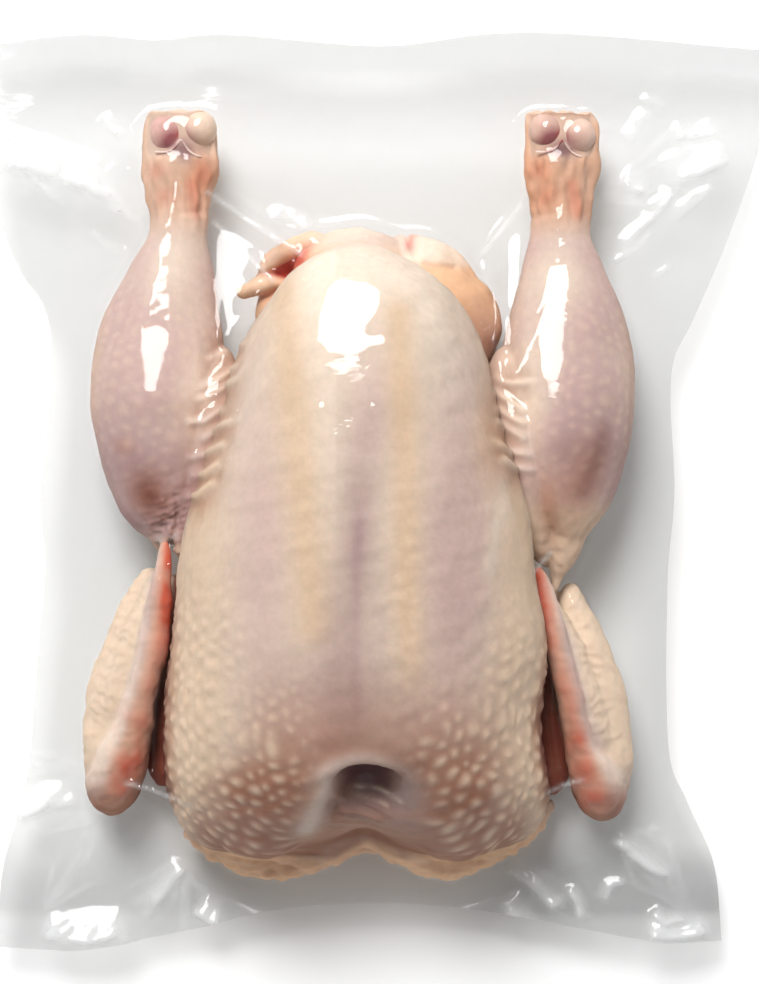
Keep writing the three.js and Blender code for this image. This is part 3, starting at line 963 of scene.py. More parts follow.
def shaped_leg(bird, side, points, normals, marks):
    """Where a leg's points go: fine forms along its normals first, and then the opening and the lean."""
    x, y, z = points.T
    looks = LEG_LOOKS[side]
    off_axis = x - marks.axis
    folds = np.sin(1.5 * off_axis + 0.12 * y) * bell(y, 103, 8) * marks.above
    ankle = bell(y, 98 + 0.1 * off_axis, 1.3) * smooth_step(-2, 3, -marks.out)
    gathered = Ripple(27 + side, 5, 2)(x, y, z) * spot(x, y, looks.knot, (9, 11))
    push = 0.3 * bird.bump_height * marks.bumps + 0.3 * marks.waves + 0.45 * folds - 0.5 * ankle
    push += 1.5 * (marks.crests - 0.4) * marks.groove * smooth_step(38, 44, z)
    push += 0.45 * marks.wrinkles * smooth_step(88, 104, y) * (1 - marks.opening)
    push += looks.loose * (0.42 * gathered + 0.25 * marks.wrinkles * smooth_step(-2, -18, y))
    moved = points + normals * push[:, None]
    lean = looks.lean * smooth_step(90, 50, y) * smooth_step(-20, 10, y)
    moved[:, 2] -= 1.8 * marks.opening + lean * np.clip(marks.out, -14, 14) * smooth_step(26, 36, z)
    return moved


def knee_bruises(x, y, side):
    """Dark flesh, blood and brown folds at a knee."""
    if side == LEFT:
        dark = spot(x, y, (-80, -1), (7, 9), 30) + 0.5 * spot(x, y, (-88.5, 16), (4, 3.4))
        blood = 0.66 * spot(x, y, (-80.2, -0.5), (5, 8), 25) + 0.1 * spot(x, y, (-75, -15), (3, 5))
        return dark, blood, 0.2 * streak(x, y, [(-62, 8), (-70, -12), (-74, -18)], 4)
    dark = spot(x, y, (70, 4), (9, 18), -25)
    blood = 0.36 * streak(x, y, [(78, 22), (75, 10), (71, 0)], 3)
    return dark, blood, 0.6 * spot(x, y, (59.6, -8), (4.5, 12))


def stain_hock(piece, points, side, marks):
    """The thick tan skin of the hock, and the red flesh that is bare beside the bone ends."""
    x, y, _ = points.T
    axis, looks = marks.axis, LEG_LOOKS[side]
    hock = side * HOCK_OUT[side]
    at, wide = looks.orange
    orange = spot(x, y, (axis - 8 * side, at), (wide, 9))
    rim = np.minimum(marks.opening + smooth_step(129, 133, y), 1)
    tan = looks.tan * smooth_step(86, 101, y) * (1 - 0.7 * marks.between) * (1 - 0.5 * rim)
    stain(piece, "tan", tan + 0.4 * orange + 0.3 * spot(x, y, (58, 0), (5, 10)))
    red = 0.5 * streak(x, y, [(hock + 4, 108), (hock + 6, 98)], 2.4)
    red += spots(x, y, [(0.4, (hock - 5, 104), (4, 4)), (0.5, (hock - 8, 113), (3.4, 3))])
    if side == LEFT:
        red += 0.5 * spot(x, y, (hock + 8, 112), (3.4, 6))
    stain(piece, "red", 0.75 * red * marks.above)


def stain_drumstick(piece, points, side, marks):
    """The pink and purple of the muscle, the pale skin over it, what is dark or pale at the knee, and painted
    light and shade at the pleats and the hock.
    """
    x, y, z = points.T
    axis, groove, looks = marks.axis, marks.groove, LEG_LOOKS[side]
    knee = smooth_step(*looks.knee, y)
    # Painted light: the smooth spot beside the groove is painted paler, and keeps off pink and purple.
    smooth = spot(x, y, *looks.smooth)
    pale = spot(x, y, (axis, 78), (12, 16))
    purple = looks.purple * smooth_step(46, 6, y) + 0.12
    if side == RIGHT:
        pale += spot(x, y, (axis - 14, 36), (8, 34))
        purple += 0.14 - 0.4 * pale
    pink = smooth_step(104, 84, y) * (0.9 + 0.2 * marks.waves - 0.6 * pale)
    stain(piece, "pink", pink * (1 - 0.7 * knee) * (1 - 0.6 * smooth))
    purple *= smooth_step(88, 60, y) * (1 - 0.9 * knee) * (1 - 0.7 * smooth)
    # The purple between the bone ends is partly the flesh's colour and partly painted shade in the crease.
    stain(piece, "purple", purple + 0.9 * marks.between + 0.3 * marks.opening)

    # Painted highlights: the pleats' crests are painted pale; painted light lies on the smooth spot.
    edge = smooth_step(-10, -17, marks.out) * smooth_step(60, 30, y) * smooth_step(-22, -6, y)
    light = 0.9 * groove * marks.crests + 0.6 * edge * (1 - groove) + 0.45 * smooth_step(60, 90, y)
    light += 0.95 * smooth * (1 - 0.4 * groove) + looks.knee_pale * knee
    sinew = spot(x, y, (axis - 1, 116.4), (7, 2), -20) + spot(x, y, (axis + 3, 117.4), (5, 1.6), 30)
    light += 0.8 * sinew * smooth_step(-0.6, 0.6, marks.waves + marks.wrinkles)
    stain(piece, "pale", light)

    dark, blood, brown = knee_bruises(x, y, side)
    # Painted shade: brown in the valleys between the pleats.
    brown = np.maximum.reduce([looks.dark * dark, brown, 0.5 * groove * (1 - marks.crests)])
    stain(piece, "brown", brown * smooth_step(12, 24, z))
    # The blood between the bone ends is partly the flesh's colour and partly painted shade in the crease.
    stain(piece, "blood", blood + looks.blood * marks.between)
    stain(piece, "bumps", looks.bumps * marks.bumps * smooth_step(-10, 30, y))
    fat = smooth_step(15, 24, np.abs(marks.out)) * smooth_step(96, 60, y)
    stain(piece, "yellow", 0.45 * fat + 0.6 * knee)


def build_leg(bird, side, flesh):
    """One leg, with the skin that joins it to the trunk."""
    hock, knee = HOCK_OUT[side], KNEE_OUT[side]
    drumstick = [(y, side * (hock + (knee - hock) * share), *rest) for y, share, *rest in DRUMSTICK]
    piece = fused("leg_" + SIDE_NAME[side], leg_forms(side, drumstick), voxel=0.75, smoothing=3)
    points, normals = skin_points(piece)
    marks = leg_marks(side, drumstick, points, normals)
    move_points(piece, shaped_leg(bird, side, points, normals, marks))
    stain_hock(piece, points, side, marks)
    stain_drumstick(piece, points, side, marks)
    return finish_piece(piece, flesh)


# The two round ends of each shin bone: how far right of the hock's line, y, half-width, half-length and turn.
CONDYLES = {
    LEFT: [(-4.3, 126.2, 6.6, 7.5, 20), (6.4, 128, 6.4, 6.8, -15)],
    RIGHT: [(-4.9, 127.4, 6.3, 6.6, 20), (6.2, 125.6, 6.2, 6.6, -15)],
}
CONDYLE_HEIGHT, CONDYLE_HALF_DEPTH = 31.6, 8.3
# The white sinews over them: how far right of the hock's line, y, z.
INNER_SINEW = [(0.5, 124, 37.5), (-2, 120.8, 38), (-5, 119.4, 38), (-9, 119.6, 37.4)]
OUTER_SINEW = [(0.5, 124, 37.5), (3, 120.2, 37.8), (5.5, 118.4, 37.6), (8, 117.8, 37)]


def build_hock_bones(bird, side):
    """The two round ends of the shin bone, bare where the foot was cut off, with their white sinews."""
    hock = side * HOCK_OUT[side]
    (low, *_), (high, *_) = CONDYLES[side]
    inner, outer = ([(hock + out, y, z) for out, y, z in path] for path in (INNER_SINEW, OUTER_SINEW))
    forms = [
        lump((hock + out, y, CONDYLE_HEIGHT), (wide, long, CONDYLE_HALF_DEPTH), turn)
        for out, y, wide, long, turn in CONDYLES[side]
    ]
    forms.append(tube(spline(inner, LINE), 0.35 + 0.2 * LINE, 1.2 - 0.8 * LINE))
    forms.append(tube(spline(outer, LINE), 0.3 + 0.15 * LINE, 1.1 - 0.8 * LINE))
    piece = fused("hock_bones_" + SIDE_NAME[side], forms, voxel=0.45, smoothing=3)
    points, normals = skin_points(piece)
    x, y, z = points.T
    knobs = 0.06 * Ripple(36 + side, 6, 1)(x, y, z)
    move_points(piece, points + normals * knobs[:, None])

    threads = np.maximum(streak(x, y, inner, 1.1), 0.8 * streak(x, y, outer, 0.8))
    stain(piece, "sinew", 0.6 * threads * smooth_step(-0.6, 0.5, knobs * 8 + 0.2))
    ivory = 0.75 * smooth_step(-2, 7, x - hock) if side == LEFT else np.full_like(x, 0.4)
    stain(piece, "ivory", ivory)
    # Painted shade, in part: purple on the lower sides of the bone ends and, with red, in the crease between
    # them; it is partly the cartilage's own purple.
    middle = hock + 0.5 * (low + high)
    purple = 0.3 * bell(x, hock + low, 5.5)
    purple += spots(x, y, [
        (0.85 if side == LEFT else 1.1, (hock + low + 1.4, 123), (4.4, 3.8), 35),
        (1, (middle, 124), (1.5, 3.4)),
        (0.5, (hock + high - 3, 123), (5, 4), 20),
    ])
    stain(piece, "purple", purple)
    stain(piece, "red", 0.4 * spot(x, y, (middle - 1, 125), (1.6, 3)))
    stains = [("ivory", IVORY), ("purple", CARTILAGE_PURPLE_AND_SHADE), ("red", bird.red), ("sinew", SINEW)]
    material = flesh_material("cartilage_" + SIDE_NAME[side], CARTILAGE, stains, roughness=0.3)
    return finish_piece(piece, material)


# The parts of a folded wing, from tip to wrist, elbow to wrist, and elbow to shoulder: y, how far out, z,
# half-width and half-depth.
HAND = {
    LEFT: [
        (-16.5, 74.6, 48, 0.5, 0.5),
        (-18.4, 74.8, 48, 1.9, 2.1),
        (-28, 75.6, 48, 3.4, 3.6),
        (-42, 77.4, 47, 4.6, 4.6),
        (-58.5, 80.4, 46, 5.4, 5.4),
        (-76, 84.8, 43, 6.6, 6.8),
        (-92, 90.4, 37, 9.2, 9.4),
        (-102, 93.4, 32, 10.3, 10.6),
        (-109, 94.2, 29.5, 8.4, 9),
        (-112.6, 94.4, 28.5, 5.4, 6),
        (-114.6, 94.6, 28, 1.2, 1.2),
    ],
    RIGHT: [
        (-26.5, 55.4, 48, 0.5, 0.5),
        (-28.5, 55.8, 48, 2.2, 2.4),
        (-38, 58.2, 48, 3.6, 3.8),
        (-52, 61.6, 47.5, 4.3, 4.8),
        (-66, 64.9, 46, 4.6, 5.2),
        (-80, 67.8, 43.5, 4.6, 5.4),
        (-88, 70.4, 40.5, 5.4, 6.4),
        (-96, 74.8, 36, 8.6, 9),
        (-105, 77.6, 32, 9.6, 10.4),
        (-112, 78.6, 29.5, 7.4, 8.2),
        (-115.8, 79.0, 28, 3.6, 4.4),
        (-117.2, 79.2, 27, 1, 1),
    ],
}
FOREARM = {
    LEFT: [
        (-27, 80.6, 31, 1, 1),
        (-31, 81.4, 31, 4.4, 5),
        (-42, 85.0, 30, 7.6, 8.4),
        (-58, 89.6, 30, 10.0, 10.4),
        (-76, 93.0, 29.5, 11.4, 11.8),
        (-92, 94.2, 29, 11.0, 12),
        (-104, 93.6, 28, 9.6, 10.4),
        (-112, 93, 28, 3, 3.6),
    ],
    RIGHT: [
        (-32, 67.5, 29, 1, 1),
        (-36, 67.8, 29, 4.2, 5),
        (-48, 71.8, 29, 7.4, 8.6),
        (-62, 75.6, 29, 8.8, 10.4),
        (-78, 79.2, 28.5, 9.4, 11),
        (-94, 80.6, 28, 9.0, 11),
        (-105, 79.8, 28, 8.2, 9.6),
        (-112, 79.0, 28, 3, 3.6),
    ],
}
# The upper arm is hidden below both, and fills the gap beside the trunk.
UPPER_ARM = {
    LEFT: [
        (-30, 72, 22, 4, 8),
        (-58, 71, 22, 9, 10),
        (-84, 72, 21, 11, 11),
        (-97, 74, 20, 9, 9),
        (-105, 77, 20, 2, 3),
    ],
    RIGHT: [
        (-34, 60, 22, 4, 8),
        (-58, 58, 22, 9, 10),
        (-84, 58, 21, 11, 11),
        (-99, 59, 20, 9, 9),
        (-108, 61, 20, 2, 3),
    ],
}
# The web of skin between the hand and the forearm.
WING_WEB = {
    LEFT: [
        (-26, 77, 37, 1, 2),
        (-42, 82, 38, 5.5, 8),
        (-60, 86.4, 37.5, 7.5, 9),
        (-78, 91, 34, 8, 9),
        (-97, 93, 29, 5, 7),
    ],
    RIGHT: [
        (-38, 61, 37, 1, 2),
        (-54, 66.4, 38, 5, 8),
        (-69, 71, 37, 6.6, 9),
        (-84, 75.4, 34, 7, 9),
        (-99, 78, 29, 5, 7),
    ],
}
RIB_SPACING = 4.4  # of the faint rows that quills left along the forearm


def wing_marks(side, points):
    """What both the shape and the stains of a wing's skin follow."""
    x, y, z = points.T
    out = side * x
    middle, spine, half = stations(sorted(row[:4] for row in HAND[side]))(y)
    across = out - middle
    waves = Ripple(31 + side, 20, 3)(x, y, z)
    fore = smooth_step(0, 3, across - 0.8 * half) * smooth_step(-104, -92, y)
    place = ((y - 0.35 * across) / RIB_SPACING + 0.25 * waves) % 1
    row = np.exp(-(((place - 0.5) / 0.24) ** 2)) * bell(across, half + 6.5, 4) * smooth_step(-96, -84, y)
    return SimpleNamespace(
        out=out,
        across=across,
        half=half,
        waves=waves,
        fore=fore,
        ribs=row * fore,
        on_hand=smooth_step(1.5, -0.5, across - half) * smooth_step(-6, 0, z - spine + 0.6 * half),
        wrist=smooth_step(-98, -110, y + 0.2 * across),
    )


def hand_colours(side, y, marks):
    """How red the inner side of the hand is, and how pale the bone's line over it."""
    out, across, on_hand = marks.out, marks.across, marks.on_hand
    if side == LEFT:
        inner = smooth_step(2.2, -2, across) * on_hand
        red = inner * (0.75 * smooth_step(-56, -42, y) + 0.35 * smooth_step(-84, -66, y))
        red += 0.7 * streak(out, y, [(86, -80), (87.5, -93), (90, -102)], 4.6)
        return red, streak(out, y, [(77.5, -30), (80, -52), (84, -72), (88, -88)], 3.0)
    red = on_hand * smooth_step(3, -3, across) * smooth_step(-62, -48, y)
    red += 0.55 * streak(out, y, [(70, -88), (72, -98), (75, -107)], 4.8)
    red += 0.35 * on_hand * smooth_step(-52, -66, y) * smooth_step(-96, -80, y)
    return red, streak(out, y, [(63, -48), (67.4, -62), (71.4, -78), (76.6, -88)], 3.2)


def build_wing(side, flesh):
    """One folded wing, its hand above its forearm."""
    forms = [
        limb([(y, side * out, *rest) for y, out, *rest in part[side]], 1.0)
        for part in (HAND, FOREARM, WING_WEB, UPPER_ARM)
    ]
    piece = fused("wing_" + SIDE_NAME[side], forms, voxel=0.68, smoothing=14)
    points, normals = skin_points(piece)
    x, y, z = points.T
    marks = wing_marks(side, points)
    across, half, fore, on_hand = marks.across, marks.half, marks.fore, marks.on_hand
    ridges = Ripple(34 + side, 7, 2, (1.6, 0.7, 1))(x, y, z)
    push = 0.25 * marks.waves + 0.05 * ridges + 0.35 * marks.ribs
    move_points(piece, points + normals * push[:, None])

    red, pale = hand_colours(side, y, marks)
    # Painted shade: under the hand and at its inner edge, seen in the gap beside the trunk, red, brown and
    # blood darken the skin; it is partly the flesh's own red.
    under = smooth_step(37, 31, z) * smooth_step(1.5, -1, across + half)
    beside = smooth_step(-half + 0.4, -half - 1.6, across)
    shaded_underside = np.maximum(under, beside)
    red = (1.0 + 0.3 * marks.waves) * red * smooth_step(22, 34, z) * (1 - 0.7 * pale)
    stain(piece, "red", np.maximum(red, 0.6 * shaded_underside))
    stain(piece, "pink", 0.7 * on_hand * smooth_step(-112, -20, y) + 0.3 * smooth_step(-88, -100, y))
    stain(piece, "tan", 0.68 * on_hand * smooth_step(4, -1, across) * (1 - 0.6 * marks.wrist))
    stain(piece, "yellow", 0.5 * fore * (1 - pale))
    light = np.maximum(fore, smooth_step(-1, 4, across) * on_hand)
    stain(piece, "pale", 0.75 * light * smooth_step(-106, -92, y))
    stain(piece, "purple", 0.6 * marks.wrist + 0.35 * pale)
    stain(piece, "brown", (0.85 if side == LEFT else 0.65) * marks.wrist + 0.9 * under)
    stain(piece, "blood", (0.62 if side == LEFT else 0.5) * shaded_underside)
    stain(piece, "bumps", 0.5 * marks.ribs)
    return finish_piece(piece, flesh)


# The flap of skin and the lobe of fat left of the tail: x, y, z.
TAIL_FLAP = [(-13, 87.6, 32.6), (-23.6, 88.4, 33), (-32.4, 85.4, 30.6), (-39.4, 80.6, 27)]
TAIL_LOBE = [(-48, 71.2, 26), (-43.5, 72.6, 27), (-38, 74.4, 27), (-33, 74, 27)]


def build_tail(bird):
    """The tail's skin, and the fat round the vent, which opens dark red on one side."""
    forms = [
        lump((-9, 77.5, 28), (21.5, 16.3, 17)),
        lump((15, 57, 28), (28.4, 27, 18)),
        lump((12, 66, 26), (25.5, 25, 15.5)),
        tube(spline(TAIL_FLAP, LINE), 2.5 + 1.1 * LINE, np.full_like(LINE, 4.4)),
        lump((-39.4, 80.4, 27), (3.8, 3, 3.8), 30),
        tube(spline(TAIL_LOBE, LINE), 2.2 + 1.2 * np.sin(3 * LINE), np.full_like(LINE, 4)),
        lump((-48, 71.4, 26), (2.8, 2.6, 3.6)),
        lump((-38, 77, 22.5), (8.5, 5, 5.5), 45),
        lump((-32, 64, 20), (12, 18, 9)),
    ]
    piece = fused("tail", forms, voxel=0.68, smoothing=3)
    points, normals = skin_points(piece)
    x, y, z = points.T
    waves = Ripple(41, 22, 2)(x, y, z)
    crease = streak(x, y, [(9.5, 91), (11.5, 86), (14, 80), (21, 79), (27, 79.5)], 1.1)
    vent = np.minimum(1.7 * spot(x, y, (-34, 78), (8, 4), 45), 1) * smooth_step(31, 28, z)
    moved = points + normals * (0.4 * waves - 1.1 * crease)[:, None]
    moved[:, 2] -= 3 * vent
    move_points(piece, moved)

    bare = 0.95 * spot(x, y, (-28, 81.4), (7, 3.8), 40) * smooth_step(40, 36, z)
    red = np.maximum.reduce([vent, bare, 0.6 * spot(x, y, (10.6, 88), (1.6, 3.4), -25)])
    stain(piece, "red", red)
    wet = 0.1 * vent * smooth_step(4, -4, x + 31 + waves)
    stain(piece, "blood", wet + 0.25 * spot(x, y, (11, 86), (1.6, 2.6)))
    upper_lobe = 0.75 * smooth_step(78, 82, y) * smooth_step(4, 12, x)
    stain(piece, "pale", upper_lobe + spots(x, y, [(1, (-8, 90), (22, 10)), (0.5, (-44, 76), (8, 10))]))
    pink = [
        (0.7, (38, 50), (10, 12)),
        (0.4, (6, 90), (8, 4)),
        (0.5, (-8, 86), (12, 6)),
        (0.4, (-38, 83), (5, 4)),
    ]
    stain(piece, "pink", spots(x, y, pink))
    stain(piece, "brown", 0.3 * smooth_step(28, 20, z) + 0.75 * spot(x, y, (33, 52), (14, 17)))
    stains = [(name, getattr(bird, name)) for name in ("pale", "pink", "brown")]
    stains += [("red", VENT_RED), ("blood", bird.blood)]
    return finish_piece(piece, flesh_material("tail_fat", TAIL_FAT, stains))


# ---- the bag ----

BAG_HALF_WIDTH, BAG_HALF_LENGTH = 143, 163
BESIDE_BIRD = 4  # beside the bird, what holds the film up is this far under the seam
FLOOR_ROOM, FILM_ROOM = 0.15, 0.3  # the least height of the lower film, and the least gap between both films
ABOVE_ALL, BELOW_ALL = 0.3, -0.1  # heights in metres that rays start from
BAG_EDGES = {
    "left": [
        (-137, -162.6), (-134, -133), (-126, -103), (-121.5, -55), (-119, -27), (-120.5, -2),
        (-116.5, 42), (-119, 65), (-128.5, 80), (-137, 105), (-143, 158.8),
    ],
    "right": [
        (122.5, -160.5), (119.5, -133), (110, -111), (103, -90), (102.5, -33), (105, 0),
        (104, 42), (112, 62), (124, 90), (136, 125), (143, 157.4),
    ],
    "top": [
        (-143, 158.8), (-108, 163), (-80, 161.2), (-55, 163), (-1, 158.8), (38, 163), (70, 163), (143, 157.4),
    ],
    "bottom": [
        (-137, -162.6), (-105, -163), (-67, -156), (-38, -149), (0, -146.5), (42, -150), (70, -155),
        (98, -160), (122.5, -160.5),
    ],
}
# Knots across and along each film.
FILM_GRIDS = {"film_upper": (300, 330), "film_lower": (200, 220)}
# How each film is drawn, from coarse grids to fine: the cell in millimetres, and the rounds of relaxing.
COARSE_TO_FINE = ((4, 160), (2, 160), (1, 200))


def even_spline(points, shares):
    """Points at shares of a smooth curve's length."""
    dense = spline(points, np.linspace(0, 1, 400))
    length = np.concatenate([[0], np.cumsum(np.linalg.norm(np.diff(dense, axis=0), axis=1))])
    return np.stack([np.interp(shares * length[-1], length, dense[:, k]) for k in (0, 1)], 1)


def pouch_plan(columns, rows):
    """Where each knot of the flat pouch's grid lies in plan: two arrays of rows x columns."""
    u, v = np.linspace(0, 1, columns), np.linspace(0, 1, rows)
    bottom, top = even_spline(BAG_EDGES["bottom"], u), even_spline(BAG_EDGES["top"], u)
    left, right = even_spline(BAG_EDGES["left"], v), even_spline(BAG_EDGES["right"], v)
    u, v = u[None, :, None], v[:, None, None]
    along = bottom[None] * (1 - v) + top[None] * v
    across = left[:, None] * (1 - u) + right[:, None] * u
    ends = (bottom[0] * (1 - u) + bottom[-1] * u) * (1 - v) + (top[0] * (1 - u) + top[-1] * u) * v
    plan = along + across - ends
    return plan[..., 0], plan[..., 1]


class Plan:
    """A level grid of heights over the bag, at one-millimetre steps."""

    STEP = 1.0
    COLUMNS, ROWS = 304, 344
    CORNER = (-151.5, -171.5)  # x and y of its first place

    def __init__(self):
        self.x0, self.y0 = self.CORNER
        self.x = (self.x0 + np.arange(self.COLUMNS) * self.STEP)[None, :]
        self.y = (self.y0 + np.arange(self.ROWS) * self.STEP)[:, None]

    def sample(self, heights, x, y):
        """Heights at any places, from a grid of them."""
        column = np.clip((x - self.x0) / self.STEP, 0, heights.shape[1] - 1.001)
        row = np.clip((y - self.y0) / self.STEP, 0, heights.shape[0] - 1.001)
        c, r = column.astype(int), row.astype(int)
        s, t = column - c, row - r
        near = heights[r, c] * (1 - s) + heights[r, c + 1] * s
        far = heights[r + 1, c] * (1 - s) + heights[r + 1, c + 1] * s
        return near * (1 - t) + far * t


def bird_heights(plan, pieces):
    """The highest and lowest skin over each place of the plan, with NaN beside the bird."""
    upper = np.full((plan.ROWS, plan.COLUMNS), np.nan)
    lower = upper.copy()
    graph = bpy.context.evaluated_depsgraph_get()
    down, up = Vector((0, 0, -1)), Vector((0, 0, 1))
    for piece in pieces:
        tree = BVHTree.FromObject(piece, graph)
        corners = np.array([v[:] for v in piece.bound_box]) / MM
        low, high = corners.min(0), corners.max(0)
        rows = np.flatnonzero((plan.y.ravel() > low[1]) & (plan.y.ravel() < high[1]))
        columns = np.flatnonzero((plan.x.ravel() > low[0]) & (plan.x.ravel() < high[0]))
        for r in rows:
            for c in columns:
                x, y = plan.x[0, c] * MM, plan.y[r, 0] * MM
                hit = tree.ray_cast(Vector((x, y, ABOVE_ALL)), down)[0]
                if hit is None:
                    continue
                upper[r, c] = np.fmax(upper[r, c], hit.z / MM)
                base = tree.ray_cast(Vector((x, y, BELOW_ALL)), up)[0]
                lower[r, c] = np.fmin(lower[r, c], base.z / MM)
    return upper, lower


def neighbours(field):
    """The mean of the four neighbours of every inner place."""
    return (field[:-2, 1:-1] + field[2:, 1:-1] + field[1:-1, :-2] + field[1:-1, 2:]) / 4


def softened(field, rounds):
    """A field whose inner places are drawn halfway towards their neighbours, round after round."""
    field = field.copy()
    for _ in range(rounds):
        field[1:-1, 1:-1] = (field[1:-1, 1:-1] + neighbours(field)) / 2
    return field


def drawn(bound, tightness, film=None):
    """A film that its bound holds up, and that bends down into gaps as sharply as its tightness allows.

    It is found on a coarse grid first, and then on finer ones. A film that is given is only drawn anew.
    """
    for step, rounds in COARSE_TO_FINE if film is None else COARSE_TO_FINE[-1:]:
        rows, columns = bound.shape[0] // step, bound.shape[1] // step
        held = bound[: rows * step, : columns * step].reshape(rows, step, columns, step).max((1, 3))
        if film is None:
            film = held.copy()
        elif film.shape != held.shape:
            film = film.repeat(2, 0).repeat(2, 1)
        film = np.maximum(held, film)
        pull = tightness[: rows * step : step, : columns * step : step] * step * step / 4
        for _ in range(rounds):
            film[1:-1, 1:-1] = np.maximum(held[1:-1, 1:-1], neighbours(film) - pull[1:-1, 1:-1])
    return film


def web(plan, corners):
    """Heights of a flat three-cornered web of film, with nothing outside it."""
    (x0, y0, z0), (x1, y1, z1), (x2, y2, z2) = corners
    area = (x1 - x0) * (y2 - y0) - (x2 - x0) * (y1 - y0)
    second = ((plan.x - x0) * (y2 - y0) - (x2 - x0) * (plan.y - y0)) / area
    third = ((x1 - x0) * (plan.y - y0) - (plan.x - x0) * (y1 - y0)) / area
    inside = (second > 0) & (third > 0) & (second + third < 1)
    return np.where(inside, z0 + second * (z1 - z0) + third * (z2 - z0), -np.inf)


def strung(plan, film, path, lifts, widths):
    """Heights that hold a film up in a taut band along a line over it, with nothing elsewhere.

    Both ends of the band have their own lift and half-width, and its heights and edges are a little uneven.
    """
    start, end = (plan.sample(film, *place) + lift for place, lift in zip((path[0], path[-1]), lifts))
    away, along, _ = distance_to(plan.x, plan.y, path)
    uneven = Ripple(54, 7, 2)(plan.x, plan.y) * min(1, widths[1]) / (7 + 2 * widths[1])
    within = away < widths[0] + (widths[1] - widths[0]) * along + 4 * uneven
    return np.where(within, start + (end - start) * along + uneven, -np.inf)


def crease(x, y, path, height, width):
    """A fold of the film along a broken line: steep before it, sloping beyond it, low at both of its ends."""
    away, along, beyond = distance_to(x, y, path)
    lift = smooth_step(0, 0.14, along) * smooth_step(1, 0.7, along)
    return height * lift * np.clip(1 - away / (width * np.where(beyond, 2.2, 0.7)), 0, 1)


def fan(random, centre, middle, spread, count, reach, height):
    """Creases that spread from a point: the angle of the middle one and the spread are in degrees."""
    lines = []
    for k in range(count):
        angle = math.radians(middle + spread * ((k + 0.5) / count - 0.5) + random.uniform(-4, 4))
        length = reach * random.uniform(0.55, 1.15)
        half = (centre[0] + 0.5 * length * math.cos(angle), centre[1] + 0.5 * length * math.sin(angle))
        angle += random.uniform(-0.15, 0.15)
        end = (half[0] + 0.5 * length * math.cos(angle), half[1] + 0.5 * length * math.sin(angle))
        lines.append(([centre, half, end], height * random.uniform(0.5, 1.1), random.uniform(0.7, 1.4)))
    return lines


# Where creases fan out over the margin: centre, direction, spread, count and reach.
FANS = [
    ((82, -118), -45, 60, 6, 26),
    ((52, -131), -55, 60, 5, 26),
    ((-68, -130), -118, 70, 6, 28),
    ((-97, -116), -150, 80, 4, 24),
    ((-106, -98), 178, 40, 3, 22),
    ((78, 104), 20, 60, 4, 40),
    ((-120, -150), 50, 60, 4, 30),
    ((110, -150), 130, 60, 4, 30),
]
FAN_HEIGHT = 0.45

# Larger folds of the margin: the points of each in plan, its height and its half-width.
FOLDS = [
    ([(-136.8, 125.5), (-121.1, 122), (-103.3, 115.6), (-85.5, 107.7)], 3.2, 6),
    ([(-132.5, 121.3), (-122.9, 114.1), (-111.1, 102.4)], 1.6, 2.5),
    ([(-96.9, 103.1), (-91.2, 101.3), (-86.2, 97.8)], 1.2, 1.8),
    ([(-99.7, 135.5), (-95.4, 131.9), (-90.5, 127.3)], 1.6, 2.2),
    ([(-131, 114.8), (-121.1, 107.7)], 0.8, 1.2),
    ([(-103.3, 94.5), (-96.9, 87.8), (-89, 86.4)], 0.5, 0.9),
    ([(126.4, 126.2), (114, 120.2), (99.7, 115.6)], 3, 5.5),
    ([(119.3, 112), (112.2, 105.2), (104, 98.5)], 1.5, 2.2),
    ([(105.8, 111.3), (99.7, 102.4), (92.6, 96.3), (84.8, 85.6)], 1.6, 2.4),
    ([(83, 82.1), (92.6, 88.8), (100.4, 95.3)], 0.8, 1.2),
    ([(104, 129.8), (114, 130.5), (125.4, 132.3)], 1.8, 3),
    ([(96.9, 138.7), (92.6, 132.6), (88, 125.9)], 1.6, 2.4),
    ([(92.6, 141.9), (102.6, 139.1)], 1, 1.8),
    ([(85.5, 114.1), (91.2, 112), (96.1, 109.9)], 2, 3.6),
    ([(96.1, 76.7), (105.4, 82.1)], 0.6, 1.2),
    ([(77.6, 104.9), (76.6, 91.3)], 0.7, 0.9),
    ([(-39.9, 101.3), (-31.3, 99.2), (-21.4, 95.3)], 1.6, 2.2),
    ([(-130.3, -111.6), (-118.2, -106.7), (-104.7, -104.5)], 2.6, 4.5),
    ([(-68, -128), (-76, -138), (-86, -151)], 2.6, 3.5),
    ([(-67.7, -130.2), (-67.3, -138), (-62, -141.5), (-65.2, -144.4)], 0.9, 1),
    ([(-67, -143), (-61.2, -147.4), (-55, -149)], 3, 4.5),
    ([(-122, -152), (-103.3, -153), (-84, -151)], 3.4, 5.5),
    ([(-26.7, -149), (-19.2, -147.3)], 0.8, 1.2),
    ([(81.9, -118.4), (89.7, -126.2), (97.9, -131.6), (108.6, -135.1)], 2.2, 3.2),
    ([(44.9, -128.4), (53.4, -135.1), (60.5, -142.3), (65.2, -148)], 2.4, 3.4),
    ([(43.4, -139.8), (47.7, -146.9), (52.7, -155.8)], 1.8, 4),
    ([(66.2, -138), (70.2, -144.4), (71.2, -150.8)], 1.6, 2),
    ([(79.8, -144), (82.6, -138), (89.7, -135.9)], 1.4, 2),
    ([(96.1, -146.9), (102.2, -150.5), (112.5, -149)], 1.8, 2.4),
    ([(93, -152), (106, -152.5), (120, -150)], 3.2, 5),
    ([(95.4, -119.1), (101.1, -119.8)], 0.8, 1.2),
    ([(69.8, -151.2), (75.5, -150.1)], 0.9, 1.1),
]
NEAR_EDGE_FOLDS = 1.35  # how much higher they are near the bag's near edge


